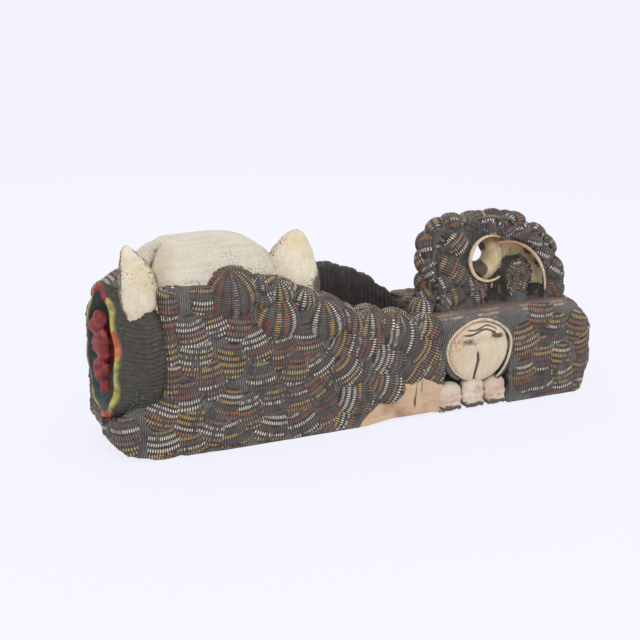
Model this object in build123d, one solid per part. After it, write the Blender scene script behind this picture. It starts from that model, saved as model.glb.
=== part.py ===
from build123d import *
import os

# Crouching dragon-lion: a painted wood carving, lying along X with its head turned to face +Y.
# Millimetres. Z is up from the surface it stands on, and the origin is below the middle of its box.

# ---- driving dimensions ----
HALF_LENGTH = 385.0           # overall length is twice this, from the left ear's tuft to the rump
HALF_DEPTH = 100.0            # overall depth is twice this, from the knees to the snout
NEAR_Y = -96.0                # flank of the body on the leg side
FAR_Y = 64.0                  # flank of the body on the face side
BACK_Z = 150.0                # flat top of the rear body, where the tail stands
CROWN_Z = 230.0               # flat top of the head, where the skull cap sits
BODY_MID_Y = (NEAR_Y + FAR_Y) / 2
BODY_LEFT_X = -372.0
BODY_RIGHT_X = HALF_LENGTH

HEAD_X = -222.0               # middle plane of the turned head
SKULL_RADIUS = 72.0           # section of the skull cap, across the head
SKULL_HALF_LENGTH = 104.0
SKULL_TOP_Z = 278.0

TAIL_CENTRE = (211.0, 157.0)  # X and Z of the tail's outer arc
TAIL_RADIUS = 126.0
TAIL_LEFT_X = 86.0            # upright root of the tail, squarer than the arc
TAIL_TOP_Z = TAIL_CENTRE[1] + TAIL_RADIUS
TAIL_NEAR_Y = -78.0
TAIL_THICKNESS = 60.0
TAIL_EYE = (189.0, 216.0)     # X and Z of the round hole through the coil
TAIL_EYE_RADIUS = 31.0

KNEE_X = 164.5
KNEE_Z = 86.0
KNEE_RADIUS = 46.0
KNEE_RECESS_RADIUS = 52.0
LEG_RECESS_DEPTH = 34.0
LEG_PROUD = 4.0               # how far knees and hind paws stand out of the flank
PAW_HEIGHT = 46.0
TOE_COUNT = 4
TOE_WIDTH = 26.5
TOE_OVERLAP = 1.0

SQUARE_FOOT_Z = 40.0          # below this the long lower edges stay square
NAPE_FLOOR_Z = 112.0          # floor of the hollow between mane and right ear
NAPE_X = (-30.0, 96.0)
NAPE_NEAR_Y = -58.0
RIGHT_EAR_BACK_Y = 24.0       # back of the right ear, towards the mane

MOUTH_HALF_WIDTH = 58.0
MOUTH_Z = (70.0, 118.0)
MOUTH_BACK_Y = 14.0
FACE_SEAT_Y = FAR_Y

FAR_BEYOND = 400.0            # longer than the body, for cutting tools
SEAM_TURN = 37.0              # turns the seam of a revolved face away from the dowels


def spheroid_about_z(centre, radius, half_height):
    """Ellipsoid of revolution with its axis along Z."""
    outline = Plane.XZ * (Ellipse(radius, half_height) & Pos(radius, 0) * Rectangle(2 * radius, 4 * half_height))
    return Pos(*centre) * Rot(0, 0, SEAM_TURN) * revolve(outline, Axis.Z)


def spheroid_about_x(centre, radius, half_length):
    """Ellipsoid of revolution with its axis along X."""
    outline = Plane.XY * (Ellipse(half_length, radius) & Pos(0, radius) * Rectangle(4 * half_length, 2 * radius))
    return Pos(*centre) * Rot(SEAM_TURN, 0, 0) * revolve(outline, Axis.X)


def spheroid_about_y(centre, radius, half_length):
    """Ellipsoid of revolution with its axis along Y."""
    outline = Plane.XY * (Ellipse(radius, half_length) & Pos(radius, 0) * Rectangle(2 * radius, 4 * half_length))
    return Pos(*centre) * Rot(0, SEAM_TURN, 0) * revolve(outline, Axis.Y)


def block(x_range, y_range, z_range):
    """Box from its lowest and highest corners."""
    low = (x_range[0], y_range[0], z_range[0])
    size = (x_range[1] - x_range[0], y_range[1] - y_range[0], z_range[1] - z_range[0])
    return Pos(*low) * Box(*size, align=(Align.MIN, Align.MIN, Align.MIN))


def rounded_block(x_range, y_range, z_range, radius):
    solid = block(x_range, y_range, z_range)
    return fillet(solid.edges(), radius)


def slab_in_xz(sketch, y_range):
    """Extrude a sketch drawn in X and Z through a range of Y."""
    return extrude(Plane((0, y_range[0], 0), x_dir=(1, 0, 0), z_dir=(0, -1, 0)) * sketch, -(y_range[1] - y_range[0]))


def dowel_z(x, y, z_range, radius):
    return Pos(x, y, (z_range[0] + z_range[1]) / 2) * Cylinder(radius, z_range[1] - z_range[0])


def dowel_y(x, z, y_range, radius):
    lying = Rot(90, 0, 0) * Cylinder(radius, y_range[1] - y_range[0])
    return Pos(x, (y_range[0] + y_range[1]) / 2, z) * lying


def dowel_x(y, z, x_range, radius):
    lying = Rot(0, 90, 0) * Cylinder(radius, x_range[1] - x_range[0])
    return Pos((x_range[0] + x_range[1]) / 2, y, z) * lying


# ---- body ----
def body_blank():
    """Outer shape of the log: side profile crossed with the rounded plan, long edges eased."""
    mane_foot_x = 44.0
    mane_knee = (-40.0, 172.0)
    crown_edge_x = -150.0
    corners = [
        (BODY_LEFT_X, 0),
        (BODY_RIGHT_X, 0),
        (BODY_RIGHT_X, BACK_Z),
        (mane_foot_x, BACK_Z),
        mane_knee,
        (crown_edge_x, CROWN_Z),
        (BODY_LEFT_X, CROWN_Z),
    ]
    radii = [50.0, 40.0, 58.0, 90.0, 90.0, 60.0, 70.0]
    outline = make_face(FilletPolyline(*corners, radius=radii, close=True))
    sharp = slab_in_xz(outline, (NEAR_Y, FAR_Y))
    long_edges = sharp.edges().group_by(Axis.Y)
    side = fillet(long_edges[0] + long_edges[-1], 18.0)
    side += sharp & block((-FAR_BEYOND, FAR_BEYOND), (NEAR_Y, FAR_Y), (0, SQUARE_FOOT_Z))
    plan_corners = [
        (BODY_LEFT_X, NEAR_Y),
        (BODY_RIGHT_X, NEAR_Y),
        (BODY_RIGHT_X, FAR_Y),
        (BODY_LEFT_X, FAR_Y),
    ]
    plan = make_face(FilletPolyline(*plan_corners, radius=[66.0, 50.0, 50.0, 36.0], close=True))
    return side & extrude(plan, CROWN_Z + 1)


# ---- legs ----
def paw(centre_x, y_range):
    """Paw of rounded toes side by side, standing on the ground."""
    pitch = TOE_WIDTH - TOE_OVERLAP
    first_x = centre_x - pitch * (TOE_COUNT - 1) / 2
    solid = None
    for index in range(TOE_COUNT):
        middle = first_x + index * pitch
        toe = rounded_block((middle - TOE_WIDTH / 2, middle + TOE_WIDTH / 2), y_range, (0, PAW_HEIGHT), 10.0)
        solid = toe if solid is None else solid + toe
    return solid


def far_knee():
    """Half ellipsoid knee on the far flank, cut flat above the paw."""
    seat_y = FAR_Y - LEG_RECESS_DEPTH
    ball = spheroid_about_y((KNEE_X, seat_y, KNEE_Z), KNEE_RADIUS, LEG_RECESS_DEPTH + LEG_PROUD)
    knee_box = block((0, FAR_BEYOND), (seat_y, FAR_BEYOND), (PAW_HEIGHT, FAR_BEYOND))
    return cut(ball & knee_box, leg_dowels())


def near_knee():
    return mirror(far_knee(), Plane.XZ.offset(-BODY_MID_Y))


def leg_recess(side):
    """Arched pocket for the knee over a square pocket for the paw."""
    flank = NEAR_Y if side < 0 else FAR_Y
    seat_y = flank - side * LEG_RECESS_DEPTH
    outside_y = flank + side * 20
    y_range = (min(seat_y, outside_y), max(seat_y, outside_y))
    arch = Pos(KNEE_X, KNEE_Z) * Circle(KNEE_RECESS_RADIUS)
    arch += Pos(KNEE_X, KNEE_Z / 2) * Rectangle(2 * KNEE_RECESS_RADIUS, KNEE_Z)
    return slab_in_xz(arch, y_range)


def hind_paw(side):
    flank = NEAR_Y if side < 0 else FAR_Y
    seat_y = flank - side * LEG_RECESS_DEPTH
    outer_y = flank + side * LEG_PROUD
    return paw(KNEE_X, (min(seat_y, outer_y), max(seat_y, outer_y)))


# ---- tail ----
TAIL_Y = (TAIL_NEAR_Y, TAIL_NEAR_Y + TAIL_THICKNESS)
TAIL_GROOVE_CENTRE = (211.0, 163.0)
TAIL_GROOVE_RADIUS = 74.0
TAIL_GROOVE_DEPTH = 22.0
TAIL_TIP_CENTRE = (242.0, 186.0)
TAIL_TIP_RADIUS = 26.0


def tail_tip_section():
    """Curled end of the tail: a round knob standing on a short stem."""
    stem_height = TAIL_TIP_CENTRE[1] - BACK_Z
    knob = Pos(*TAIL_TIP_CENTRE) * Circle(TAIL_TIP_RADIUS)
    stem = Pos(TAIL_TIP_CENTRE[0], BACK_Z + stem_height / 2) * Rectangle(1.6 * TAIL_TIP_RADIUS, stem_height)
    return knob + stem


def tail_coil():
    above_back = Pos(TAIL_CENTRE[0], BACK_Z + TAIL_RADIUS) * Rectangle(4 * TAIL_RADIUS, 2 * TAIL_RADIUS)
    root_height = 2 * (TAIL_TOP_Z - BACK_Z)
    root_width = 2 * (TAIL_CENTRE[0] - TAIL_LEFT_X)
    root = Pos(TAIL_CENTRE[0], BACK_Z) * RectangleRounded(root_width, root_height, 56.0)
    left_half = Pos(TAIL_CENTRE[0] - TAIL_RADIUS, BACK_Z) * Rectangle(2 * TAIL_RADIUS, 4 * TAIL_RADIUS)
    disc = (Pos(*TAIL_CENTRE) * Circle(TAIL_RADIUS) + (root & left_half)) & above_back
    eye = Pos(*TAIL_EYE) * Circle(TAIL_EYE_RADIUS)
    solid = slab_in_xz(disc - eye, TAIL_Y)
    right_half = Pos(TAIL_EYE[0] + TAIL_RADIUS, BACK_Z + TAIL_RADIUS) * Rectangle(2 * TAIL_RADIUS, 2 * TAIL_RADIUS)
    groove = (Pos(*TAIL_GROOVE_CENTRE) * Circle(TAIL_GROOVE_RADIUS)) & right_half
    near_groove = slab_in_xz(groove, (TAIL_Y[0], TAIL_Y[0] + TAIL_GROOVE_DEPTH))
    far_groove = slab_in_xz(groove, (TAIL_Y[1] - TAIL_GROOVE_DEPTH, TAIL_Y[1]))
    return solid - near_groove - far_groove - slab_in_xz(tail_tip_section(), TAIL_Y)


def tail_tip():
    return slab_in_xz(tail_tip_section(), TAIL_Y)


# ---- ears ----
LEFT_EAR_CENTRE = (-366.0, -36.0, 136.0)
LEFT_EAR_TURN = 17.0          # the bowl opens to -X, turned this much towards the near side
LEFT_EAR_RADIUS = 55.0
LEFT_EAR_HALF_HEIGHT = 90.0
EAR_WALL = 12.0
TUFT_RADIUS = 19.0


def left_ear():
    """Upright bowl, half an ellipsoid shell, that opens away from the head."""
    origin = (0, 0, 0)
    outer = spheroid_about_z(origin, LEFT_EAR_RADIUS, LEFT_EAR_HALF_HEIGHT)
    inner = spheroid_about_z(origin, LEFT_EAR_RADIUS - EAR_WALL, LEFT_EAR_HALF_HEIGHT - EAR_WALL)
    kept = block((0, FAR_BEYOND), (-FAR_BEYOND, FAR_BEYOND), (-FAR_BEYOND, FAR_BEYOND))
    return Pos(*LEFT_EAR_CENTRE) * Rot(0, 0, LEFT_EAR_TURN) * ((outer & kept) - inner)


def left_ear_solid():
    """The left ear with its bowl filled, for cutting its seat in the body."""
    return spheroid_about_z(LEFT_EAR_CENTRE, LEFT_EAR_RADIUS, LEFT_EAR_HALF_HEIGHT)


def left_ear_tuft():
    """Half ellipsoid tuft on a stalk out of the bottom of the bowl."""
    reach = HALF_LENGTH + LEFT_EAR_CENTRE[0]
    stalk = dowel_x(0, 0, (TUFT_RADIUS - reach, LEFT_EAR_RADIUS - EAR_WALL - 3), 12.0)
    knob = spheroid_about_z((TUFT_RADIUS - reach, 0, 0), TUFT_RADIUS, 38.0)
    front = block((-FAR_BEYOND, TUFT_RADIUS - reach), (-FAR_BEYOND, FAR_BEYOND), (-FAR_BEYOND, FAR_BEYOND))
    return Pos(*LEFT_EAR_CENTRE) * Rot(0, 0, LEFT_EAR_TURN) * ((knob & front) + stalk)


RIGHT_EAR_TOP_Z = 208.0
RIGHT_EAR_FOOT_Z = 160.0
RIGHT_EAR_BACK_WALL = 14.0


def right_ear_outline(inset):
    """Ear standing in the nape hollow, its top falling towards the rump."""
    left = NAPE_X[0] + inset
    right = NAPE_X[1] - inset
    corners = [
        (left, NAPE_FLOOR_Z + inset),
        (right, NAPE_FLOOR_Z + inset),
        (right, RIGHT_EAR_FOOT_Z - inset),
        (left + 26, RIGHT_EAR_TOP_Z - inset),
        (left, RIGHT_EAR_TOP_Z - inset - 6),
    ]
    return make_face(FilletPolyline(*corners, radius=[2.0, 2.0, 12.0, 12.0, 8.0], close=True))


def right_ear():
    """Upright tray that opens to +Y, towards the side the face looks."""
    outer = slab_in_xz(right_ear_outline(0.0), (RIGHT_EAR_BACK_Y, FAR_Y))
    bowl = slab_in_xz(right_ear_outline(EAR_WALL), (RIGHT_EAR_BACK_Y + RIGHT_EAR_BACK_WALL, FAR_Y + 1))
    return outer - bowl


def right_ear_tuft():
    """Half ellipsoid tuft on a stalk in the right ear."""
    x = (NAPE_X[0] + NAPE_X[1]) / 2 - 8
    z = (NAPE_FLOOR_Z + RIGHT_EAR_TOP_Z) / 2 - 8
    knob_y = FAR_Y - 12
    stalk = dowel_y(x, z, (RIGHT_EAR_BACK_Y + RIGHT_EAR_BACK_WALL, knob_y), 9.0)
    knob = spheroid_about_z((x, knob_y, z), 15.0, 24.0)
    front = block((-FAR_BEYOND, FAR_BEYOND), (knob_y, FAR_BEYOND), (0, FAR_BEYOND))
    return (knob & front) + stalk


# ---- head ----
def skull_cap():
    """Bare crown, a slice of an ellipsoid on the head's flat top."""
    centre_z = SKULL_TOP_Z - SKULL_RADIUS
    ball = spheroid_about_x((HEAD_X, BODY_MID_Y, centre_z), SKULL_RADIUS, SKULL_HALF_LENGTH)
    above = block((-FAR_BEYOND, 0), (-FAR_BEYOND, FAR_BEYOND), (CROWN_Z, FAR_BEYOND))
    return ball & above


LEFT_HORN = ((-332.0, -46.0, 220.0), 19.0, 57.0)     # centre, radius, half height
RIGHT_HORN = ((-103.0, -46.0, 228.0), 29.0, 48.0)


def horn(shape):
    centre, radius, half_height = shape
    return spheroid_about_z(centre, radius, half_height)


SNOUT_X = (HEAD_X - 62, HEAD_X + 62)
SNOUT_Z = (MOUTH_Z[1], 172.0)
JAW_X = (HEAD_X - 56, HEAD_X + 56)
JAW_Z = (47.0, MOUTH_Z[0])
JAW_FRONT_Y = HALF_DEPTH - 10
NOSE_SIZE = (44.0, 26.0, 22.0)
EYE_RADIUS = 19.0
EYE_SPREAD = 58.0
EYE_Z = 192.0


def snout():
    return rounded_block(SNOUT_X, (FACE_SEAT_Y, HALF_DEPTH), SNOUT_Z, 14.0)


def nose():
    """Broad nose lying on the front of the snout's top."""
    base_z = SNOUT_Z[1]
    x_range = (HEAD_X - NOSE_SIZE[0] / 2, HEAD_X + NOSE_SIZE[0] / 2)
    y_range = (FACE_SEAT_Y, FACE_SEAT_Y + NOSE_SIZE[1])
    solid = block(x_range, y_range, (base_z, base_z + NOSE_SIZE[2]))
    return fillet(solid.edges().filter_by(Axis.Z) + solid.edges().group_by(Axis.Z)[-1], 7.0)


def lower_jaw():
    return rounded_block(JAW_X, (FACE_SEAT_Y, JAW_FRONT_Y), JAW_Z, 10.0)


def tongue():
    """Flat tongue lying in the mouth and out over the lower jaw."""
    return rounded_block((HEAD_X - 20, HEAD_X + 20), (MOUTH_BACK_Y, JAW_FRONT_Y + 4), (JAW_Z[1], JAW_Z[1] + 12), 5.0)


def tooth_row(count, half_width, y_range, z_range):
    """Row of square front teeth as separate solids."""
    pitch = 2 * half_width / count
    row = []
    for index in range(count):
        middle = HEAD_X - half_width + (index + 0.5) * pitch
        row.append(block((middle - 0.46 * pitch, middle + 0.46 * pitch), y_range, z_range))
    return row


def upper_teeth():
    return tooth_row(6, 33.0, (HALF_DEPTH - 24, HALF_DEPTH - 15), (SNOUT_Z[0] - 13, SNOUT_Z[0]))


def lower_teeth():
    left = tooth_row(2, 9.0, (JAW_FRONT_Y - 21, JAW_FRONT_Y - 12), (JAW_Z[1], JAW_Z[1] + 11))
    teeth = []
    for side in (-1, 1):
        for tooth in left:
            teeth.append(Pos(side * 30.5, 0, 0) * tooth)
    return teeth


def fangs():
    """Four fangs: the upper pair points down, the lower pair points up."""
    fang_y = JAW_FRONT_Y - 14
    upper = Cone(1.5, 6.5, 26)
    lower = Cone(6.5, 1.5, 22)
    teeth = []
    for side in (-1, 1):
        teeth.append(Pos(HEAD_X + side * 45, fang_y, SNOUT_Z[0] - 13) * upper)
        teeth.append(Pos(HEAD_X + side * 45, fang_y - 13, JAW_Z[1] + 11) * lower)
    return teeth


def eye(side):
    return Pos(HEAD_X + side * EYE_SPREAD, FACE_SEAT_Y, EYE_Z) * Sphere(EYE_RADIUS)


def brow(side):
    """Arched brow ridge over an eye: an upper ring sector standing on the face."""
    centre = Pos(HEAD_X + side * EYE_SPREAD, EYE_Z)
    ring = Circle(EYE_RADIUS + 12) - Circle(EYE_RADIUS + 1)
    upper_half = Pos(0, 30) * Rectangle(120, 60)
    return slab_in_xz(centre * (ring & upper_half), (FACE_SEAT_Y, FACE_SEAT_Y + 16))


# ---- dowels ----
def horn_dowel():
    """Peg under the right horn. The left horn is glued into its pocket."""
    x, y, z = RIGHT_HORN[0]
    return dowel_z(x, y, (z - 88, z - 14), 8.0)


def ear_dowels():
    lying = dowel_x(0, 0, (LEFT_EAR_RADIUS - EAR_WALL, LEFT_EAR_RADIUS + 34), 8.0)
    left = Pos(*LEFT_EAR_CENTRE) * Rot(0, 0, LEFT_EAR_TURN) * lying
    right = dowel_z(12, RIGHT_EAR_BACK_Y + 7, (NAPE_FLOOR_Z - 28, NAPE_FLOOR_Z + 22), 5.0)
    return [left, right]


def skull_dowels():
    return [dowel_z(HEAD_X + dx, BODY_MID_Y, (CROWN_Z - 28, CROWN_Z + 24), 7.0) for dx in (-40, 40)]


def tail_dowels():
    middle_y = (TAIL_Y[0] + TAIL_Y[1]) / 2
    return [dowel_z(x, middle_y, (BACK_Z - 32, BACK_Z + 32), 8.0) for x in (118, 306)]


def leg_dowels():
    """Pegs behind the knees and the paws, one each."""
    pegs = []
    for side, flank in ((-1, NEAR_Y), (1, FAR_Y)):
        seat_y = flank - side * LEG_RECESS_DEPTH
        for z in (KNEE_Z, PAW_HEIGHT / 2):
            ends = sorted((seat_y - side * 22, seat_y + side * 16))
            pegs.append(dowel_y(KNEE_X, z, ends, 6.0))
    for x in FRONT_PAW_X:
        pegs.append(dowel_y(x, PAW_HEIGHT / 2, (FACE_SEAT_Y - 24, FACE_SEAT_Y + 14), 6.0))
    return pegs


def face_dowels():
    """Pegs that hold the snout and the lower jaw to the head."""
    pegs = []
    for side in (-1, 1):
        pegs.append(dowel_y(HEAD_X + side * 30, 145, (FACE_SEAT_Y - 24, FACE_SEAT_Y + 18), 6.0))
        pegs.append(dowel_y(HEAD_X + side * 34, 57, (FACE_SEAT_Y - 24, FACE_SEAT_Y + 14), 5.0))
    return pegs


FRONT_PAW_X = (HEAD_X - 55, HEAD_X + 55)
FRONT_PAW_Y = (FACE_SEAT_Y, HALF_DEPTH - 6)


def boxes_meet(first, second):
    a = first.bounding_box()
    b = second.bounding_box()
    in_x = a.min.X < b.max.X and b.min.X < a.max.X
    in_y = a.min.Y < b.max.Y and b.min.Y < a.max.Y
    in_z = a.min.Z < b.max.Z and b.min.Z < a.max.Z
    return in_x and in_y and in_z


def cut(solid, tools):
    """Take away each tool that is near enough to meet the solid."""
    for tool in tools:
        if boxes_meet(solid, tool):
            solid = solid - tool
    return solid


def carved_body():
    """The log with its nape hollow, mouth, leg pockets and the seats of every added piece."""
    nape = block(NAPE_X, (NAPE_NEAR_Y, FAR_BEYOND), (NAPE_FLOOR_Z, FAR_BEYOND))
    mouth_x = (HEAD_X - MOUTH_HALF_WIDTH, HEAD_X + MOUTH_HALF_WIDTH)
    mouth = block(mouth_x, (MOUTH_BACK_Y, FAR_BEYOND), MOUTH_Z)
    seats = [leg_recess(-1), leg_recess(1), left_ear_solid(), horn(LEFT_HORN), horn(RIGHT_HORN), eye(-1), eye(1)]
    return cut(body_blank(), [nape, mouth] + seats + all_dowels())


def all_dowels():
    return [horn_dowel()] + ear_dowels() + skull_dowels() + tail_dowels() + leg_dowels() + face_dowels()


NODES = {
    "carved_body": carved_body,
    "skull_cap": lambda: cut(skull_cap(), [horn(LEFT_HORN), horn(RIGHT_HORN)] + skull_dowels()),
    "left_horn": lambda: horn(LEFT_HORN),
    "right_horn": lambda: cut(horn(RIGHT_HORN), [horn_dowel()]),
    "left_ear": lambda: cut(left_ear(), [horn(LEFT_HORN)] + ear_dowels()),
    "left_ear_tuft": left_ear_tuft,
    "right_ear": lambda: cut(right_ear(), ear_dowels()),
    "right_ear_tuft": right_ear_tuft,
    "tail_coil": lambda: cut(tail_coil(), tail_dowels()),
    "tail_tip": tail_tip,
    "near_knee": near_knee,
    "far_knee": far_knee,
    "near_hind_paw": lambda: cut(hind_paw(-1), leg_dowels()),
    "far_hind_paw": lambda: cut(hind_paw(1), leg_dowels()),
    "left_front_paw": lambda: cut(paw(FRONT_PAW_X[0], FRONT_PAW_Y), leg_dowels()),
    "right_front_paw": lambda: cut(paw(FRONT_PAW_X[1], FRONT_PAW_Y), leg_dowels()),
    "snout": lambda: cut(snout(), face_dowels()),
    "nose": nose,
    "lower_jaw": lambda: cut(lower_jaw(), face_dowels()),
    "tongue": tongue,
    "upper_teeth": upper_teeth,
    "lower_teeth": lower_teeth,
    "fangs": fangs,
    "eyes": lambda: [eye(-1), eye(1)],
    "brows": lambda: [brow(-1), brow(1)],
    "horn_dowel": horn_dowel,
    "ear_dowels": ear_dowels,
    "skull_dowels": skull_dowels,
    "tail_dowels": tail_dowels,
    "leg_dowels": leg_dowels,
    "face_dowels": face_dowels,
}

os.makedirs("parts", exist_ok=True)
for name, make in NODES.items():
    made = make()
    shape = Compound(children=made) if isinstance(made, list) else made
    export_step(shape, "parts/" + name + ".step")
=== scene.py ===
import bpy
import math
import random
from mathutils import Matrix, Vector, noise
from mathutils.bvhtree import BVHTree


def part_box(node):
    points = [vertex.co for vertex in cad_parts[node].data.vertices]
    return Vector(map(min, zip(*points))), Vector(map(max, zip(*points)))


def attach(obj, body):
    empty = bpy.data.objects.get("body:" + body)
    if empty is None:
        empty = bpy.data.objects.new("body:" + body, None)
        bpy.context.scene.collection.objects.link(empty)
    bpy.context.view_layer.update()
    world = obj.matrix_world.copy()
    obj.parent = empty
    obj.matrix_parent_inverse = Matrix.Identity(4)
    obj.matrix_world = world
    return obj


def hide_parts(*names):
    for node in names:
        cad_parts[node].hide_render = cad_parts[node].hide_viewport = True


# Looks of a carved and painted dragon-lion. Metres, in the CAD model's own frame.

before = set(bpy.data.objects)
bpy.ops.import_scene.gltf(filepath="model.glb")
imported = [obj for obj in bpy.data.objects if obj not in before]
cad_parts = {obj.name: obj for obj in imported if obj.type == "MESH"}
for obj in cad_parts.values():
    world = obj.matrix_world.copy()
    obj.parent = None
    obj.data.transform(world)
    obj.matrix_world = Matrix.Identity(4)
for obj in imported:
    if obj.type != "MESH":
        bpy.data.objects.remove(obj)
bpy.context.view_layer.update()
BODY_LOW, BODY_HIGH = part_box("carved_body")
NEAR_Y = BODY_LOW[1]
FAR_Y = BODY_HIGH[1]
MIDDLE_Y = (NEAR_Y + FAR_Y) / 2
UP = Vector((0, 0, 1))
NEAR = Vector((0, -1, 0))
FAR = Vector((0, 1, 0))

ROW_PITCH = 0.0078            # between two rows of painted dots
TICK_PITCH = 0.0034           # between two gouge grooves along a row
ROW_RELIEF = 0.0008           # height of one row's own ridge
ROWS_PER_LAYER = 3            # rows on each step of a scale
SAMPLES_PER_ROW = 4
SCALE_ACROSS = 17             # points across a scale
SUNK = 0.0015                 # how far a bump's border lies below the surface


# ---------------------------------------------------------------- mesh helpers
def mesh_object(name, points, faces, materials, attributes=None, smooth=True):
    """Make an object from point and face lists. attributes maps a name to one float per point."""
    mesh = bpy.data.meshes.new(name)
    mesh.from_pydata([tuple(p) for p in points], [], faces)
    for label, values in (attributes or {}).items():
        if values and isinstance(values[0], (tuple, list)):
            layer = mesh.attributes.new(label, "FLOAT_COLOR", "POINT")
            layer.data.foreach_set("color", [c for colour in values for c in (*colour, 1.0)])
        else:
            layer = mesh.attributes.new(label, "FLOAT", "POINT")
            layer.data.foreach_set("value", values)
    mesh.polygons.foreach_set("use_smooth", [smooth] * len(mesh.polygons))
    made = bpy.data.objects.new(name, mesh)
    bpy.context.scene.collection.objects.link(made)
    for material in materials:
        mesh.materials.append(material)
    return made


def grid_faces(rows, columns, closed=False, start=0):
    """Quads of a grid of rows by columns, whose columns may join up."""
    faces = []
    last = columns if closed else columns - 1
    for i in range(rows - 1):
        for j in range(last):
            a = start + i * columns + j
            b = start + i * columns + (j + 1) % columns
            faces.append((a, b, b + columns, a + columns))
    return faces


def evaluated_mesh(piece):
    depsgraph = bpy.context.evaluated_depsgraph_get()
    return bpy.data.meshes.new_from_object(piece.evaluated_get(depsgraph))


def apply_modifiers(piece):
    """Replace the piece's mesh by the result of its modifiers."""
    mesh = evaluated_mesh(piece)
    piece.modifiers.clear()
    old = piece.data
    piece.data = mesh
    bpy.data.meshes.remove(old)


def remeshed_nodes(name, nodes, voxel, smoothing, materials):
    """One even mesh over copies of CAD nodes, with its sharp edges worn round."""
    points, faces = [], []
    for node in nodes:
        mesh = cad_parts[node].data
        start = len(points)
        points += [v.co.copy() for v in mesh.vertices]
        faces += [tuple(start + i for i in polygon.vertices) for polygon in mesh.polygons]
    piece = mesh_object(name, points, faces, materials)
    remesh = piece.modifiers.new("remesh", "REMESH")
    remesh.mode = "VOXEL"
    remesh.voxel_size = voxel
    soften = piece.modifiers.new("soften", "SMOOTH")
    soften.factor = 0.5
    soften.iterations = smoothing
    apply_modifiers(piece)
    piece.data.polygons.foreach_set("use_smooth", [True] * len(piece.data.polygons))
    return piece


def bvh_of(piece):
    mesh = piece.data
    points = [vertex.co.copy() for vertex in mesh.vertices]
    return BVHTree.FromPolygons(points, [tuple(polygon.vertices) for polygon in mesh.polygons])


def put(piece, slot, *nodes):
    """Hang a piece on the carving's one body and hide the CAD nodes it stands for. The finish, slot, is not
    used.
    """
    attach(piece, "root")
    if nodes:
        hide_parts(*nodes)
    return piece


# ---------------------------------------------------------------- materials
class Graph:
    """Short names for the shader nodes that the materials below are made of."""

    def __init__(self, name):
        self.material = bpy.data.materials.new(name)
        self.material.use_nodes = True
        self.nodes = self.material.node_tree.nodes
        self.links = self.material.node_tree.links
        self.shader = self.nodes["Principled BSDF"]

    def wire(self, value, socket):
        if isinstance(value, bpy.types.NodeSocket):
            self.links.new(value, socket)
        else:
            socket.default_value = value

    def add(self, kind, **settings):
        node = self.nodes.new(kind)
        for key, value in settings.items():
            setattr(node, key, value)
        return node

    def attribute(self, name, colour=False):
        node = self.add("ShaderNodeAttribute", attribute_name=name)
        return node.outputs["Color"] if colour else node.outputs["Fac"]

    def place(self):
        return self.add("ShaderNodeTexCoord").outputs["Object"]

    def math(self, operation, a, b=0.0, clamp=False):
        node = self.add("ShaderNodeMath", operation=operation, use_clamp=clamp)
        self.wire(a, node.inputs[0])
        self.wire(b, node.inputs[1])
        return node.outputs[0]

    def step(self, value, low, high):
        """0 below low and 1 above high, smooth between. low may be above high."""
        node = self.add("ShaderNodeMapRange", interpolation_type="SMOOTHSTEP")
        self.wire(value, node.inputs[0])
        self.wire(min(low, high), node.inputs[1])
        self.wire(max(low, high), node.inputs[2])
        self.wire(0.0 if low < high else 1.0, node.inputs[3])
        self.wire(1.0 if low < high else 0.0, node.inputs[4])
        return node.outputs[0]

    def scaled(self, vector, factors):
        node = self.add("ShaderNodeVectorMath", operation="MULTIPLY")
        self.wire(vector, node.inputs[0])
        node.inputs[1].default_value = factors
        return node.outputs[0]

    def combine(self, x, y, z=0.0):
        node = self.add("ShaderNodeCombineXYZ")
        for socket, value in zip(node.inputs, (x, y, z)):
            self.wire(value, socket)
        return node.outputs[0]

    def separate(self, vector):
        node = self.add("ShaderNodeSeparateXYZ")
        self.wire(vector, node.inputs[0])
        return node.outputs

    def noise(self, vector, scale, detail=3.0, roughness=0.55):
        node = self.add("ShaderNodeTexNoise")
        self.wire(vector, node.inputs["Vector"])
        node.inputs["Scale"].default_value = scale
        node.inputs["Detail"].default_value = detail
        node.inputs["Roughness"].default_value = roughness
        return node.outputs["Fac"]

    def random_value(self, x, y):
        node = self.add("ShaderNodeTexWhiteNoise", noise_dimensions="2D")
        self.wire(self.combine(x, y), node.inputs["Vector"])
        return node.outputs["Value"]

    def ramp(self, value, stops, interpolation="LINEAR"):
        node = self.add("ShaderNodeValToRGB")
        node.color_ramp.interpolation = interpolation
        elements = node.color_ramp.elements
        while len(elements) < len(stops):
            elements.new(0.5)
        for element, (position, colour) in zip(elements, stops):
            element.position = position
            element.color = (*colour, 1.0)
        self.wire(value, node.inputs[0])
        return node.outputs[0]

    def mix(self, factor, a, b, blend="MIX"):
        node = self.add("ShaderNodeMix", data_type="RGBA", blend_type=blend)
        self.wire(factor, node.inputs[0])
        for value, socket in ((a, node.inputs[6]), (b, node.inputs[7])):
            self.wire(value if isinstance(value, bpy.types.NodeSocket) else (*value, 1.0), socket)
        return node.outputs[2]

    def finish(self, colour, roughness, height=None, distance=0.001, strength=1.0):
        """Connect the colour, the roughness and a height in units of distance."""
        self.wire(colour, self.shader.inputs["Base Color"])
        self.wire(roughness, self.shader.inputs["Roughness"])
        self.shader.inputs["Specular IOR Level"].default_value = 0.3
        if height is not None:
            bump = self.add("ShaderNodeBump")
            bump.inputs["Strength"].default_value = strength
            bump.inputs["Distance"].default_value = distance
            self.wire(height, bump.inputs["Height"])
            self.links.new(bump.outputs[0], self.shader.inputs["Normal"])
        return self.material


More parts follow.
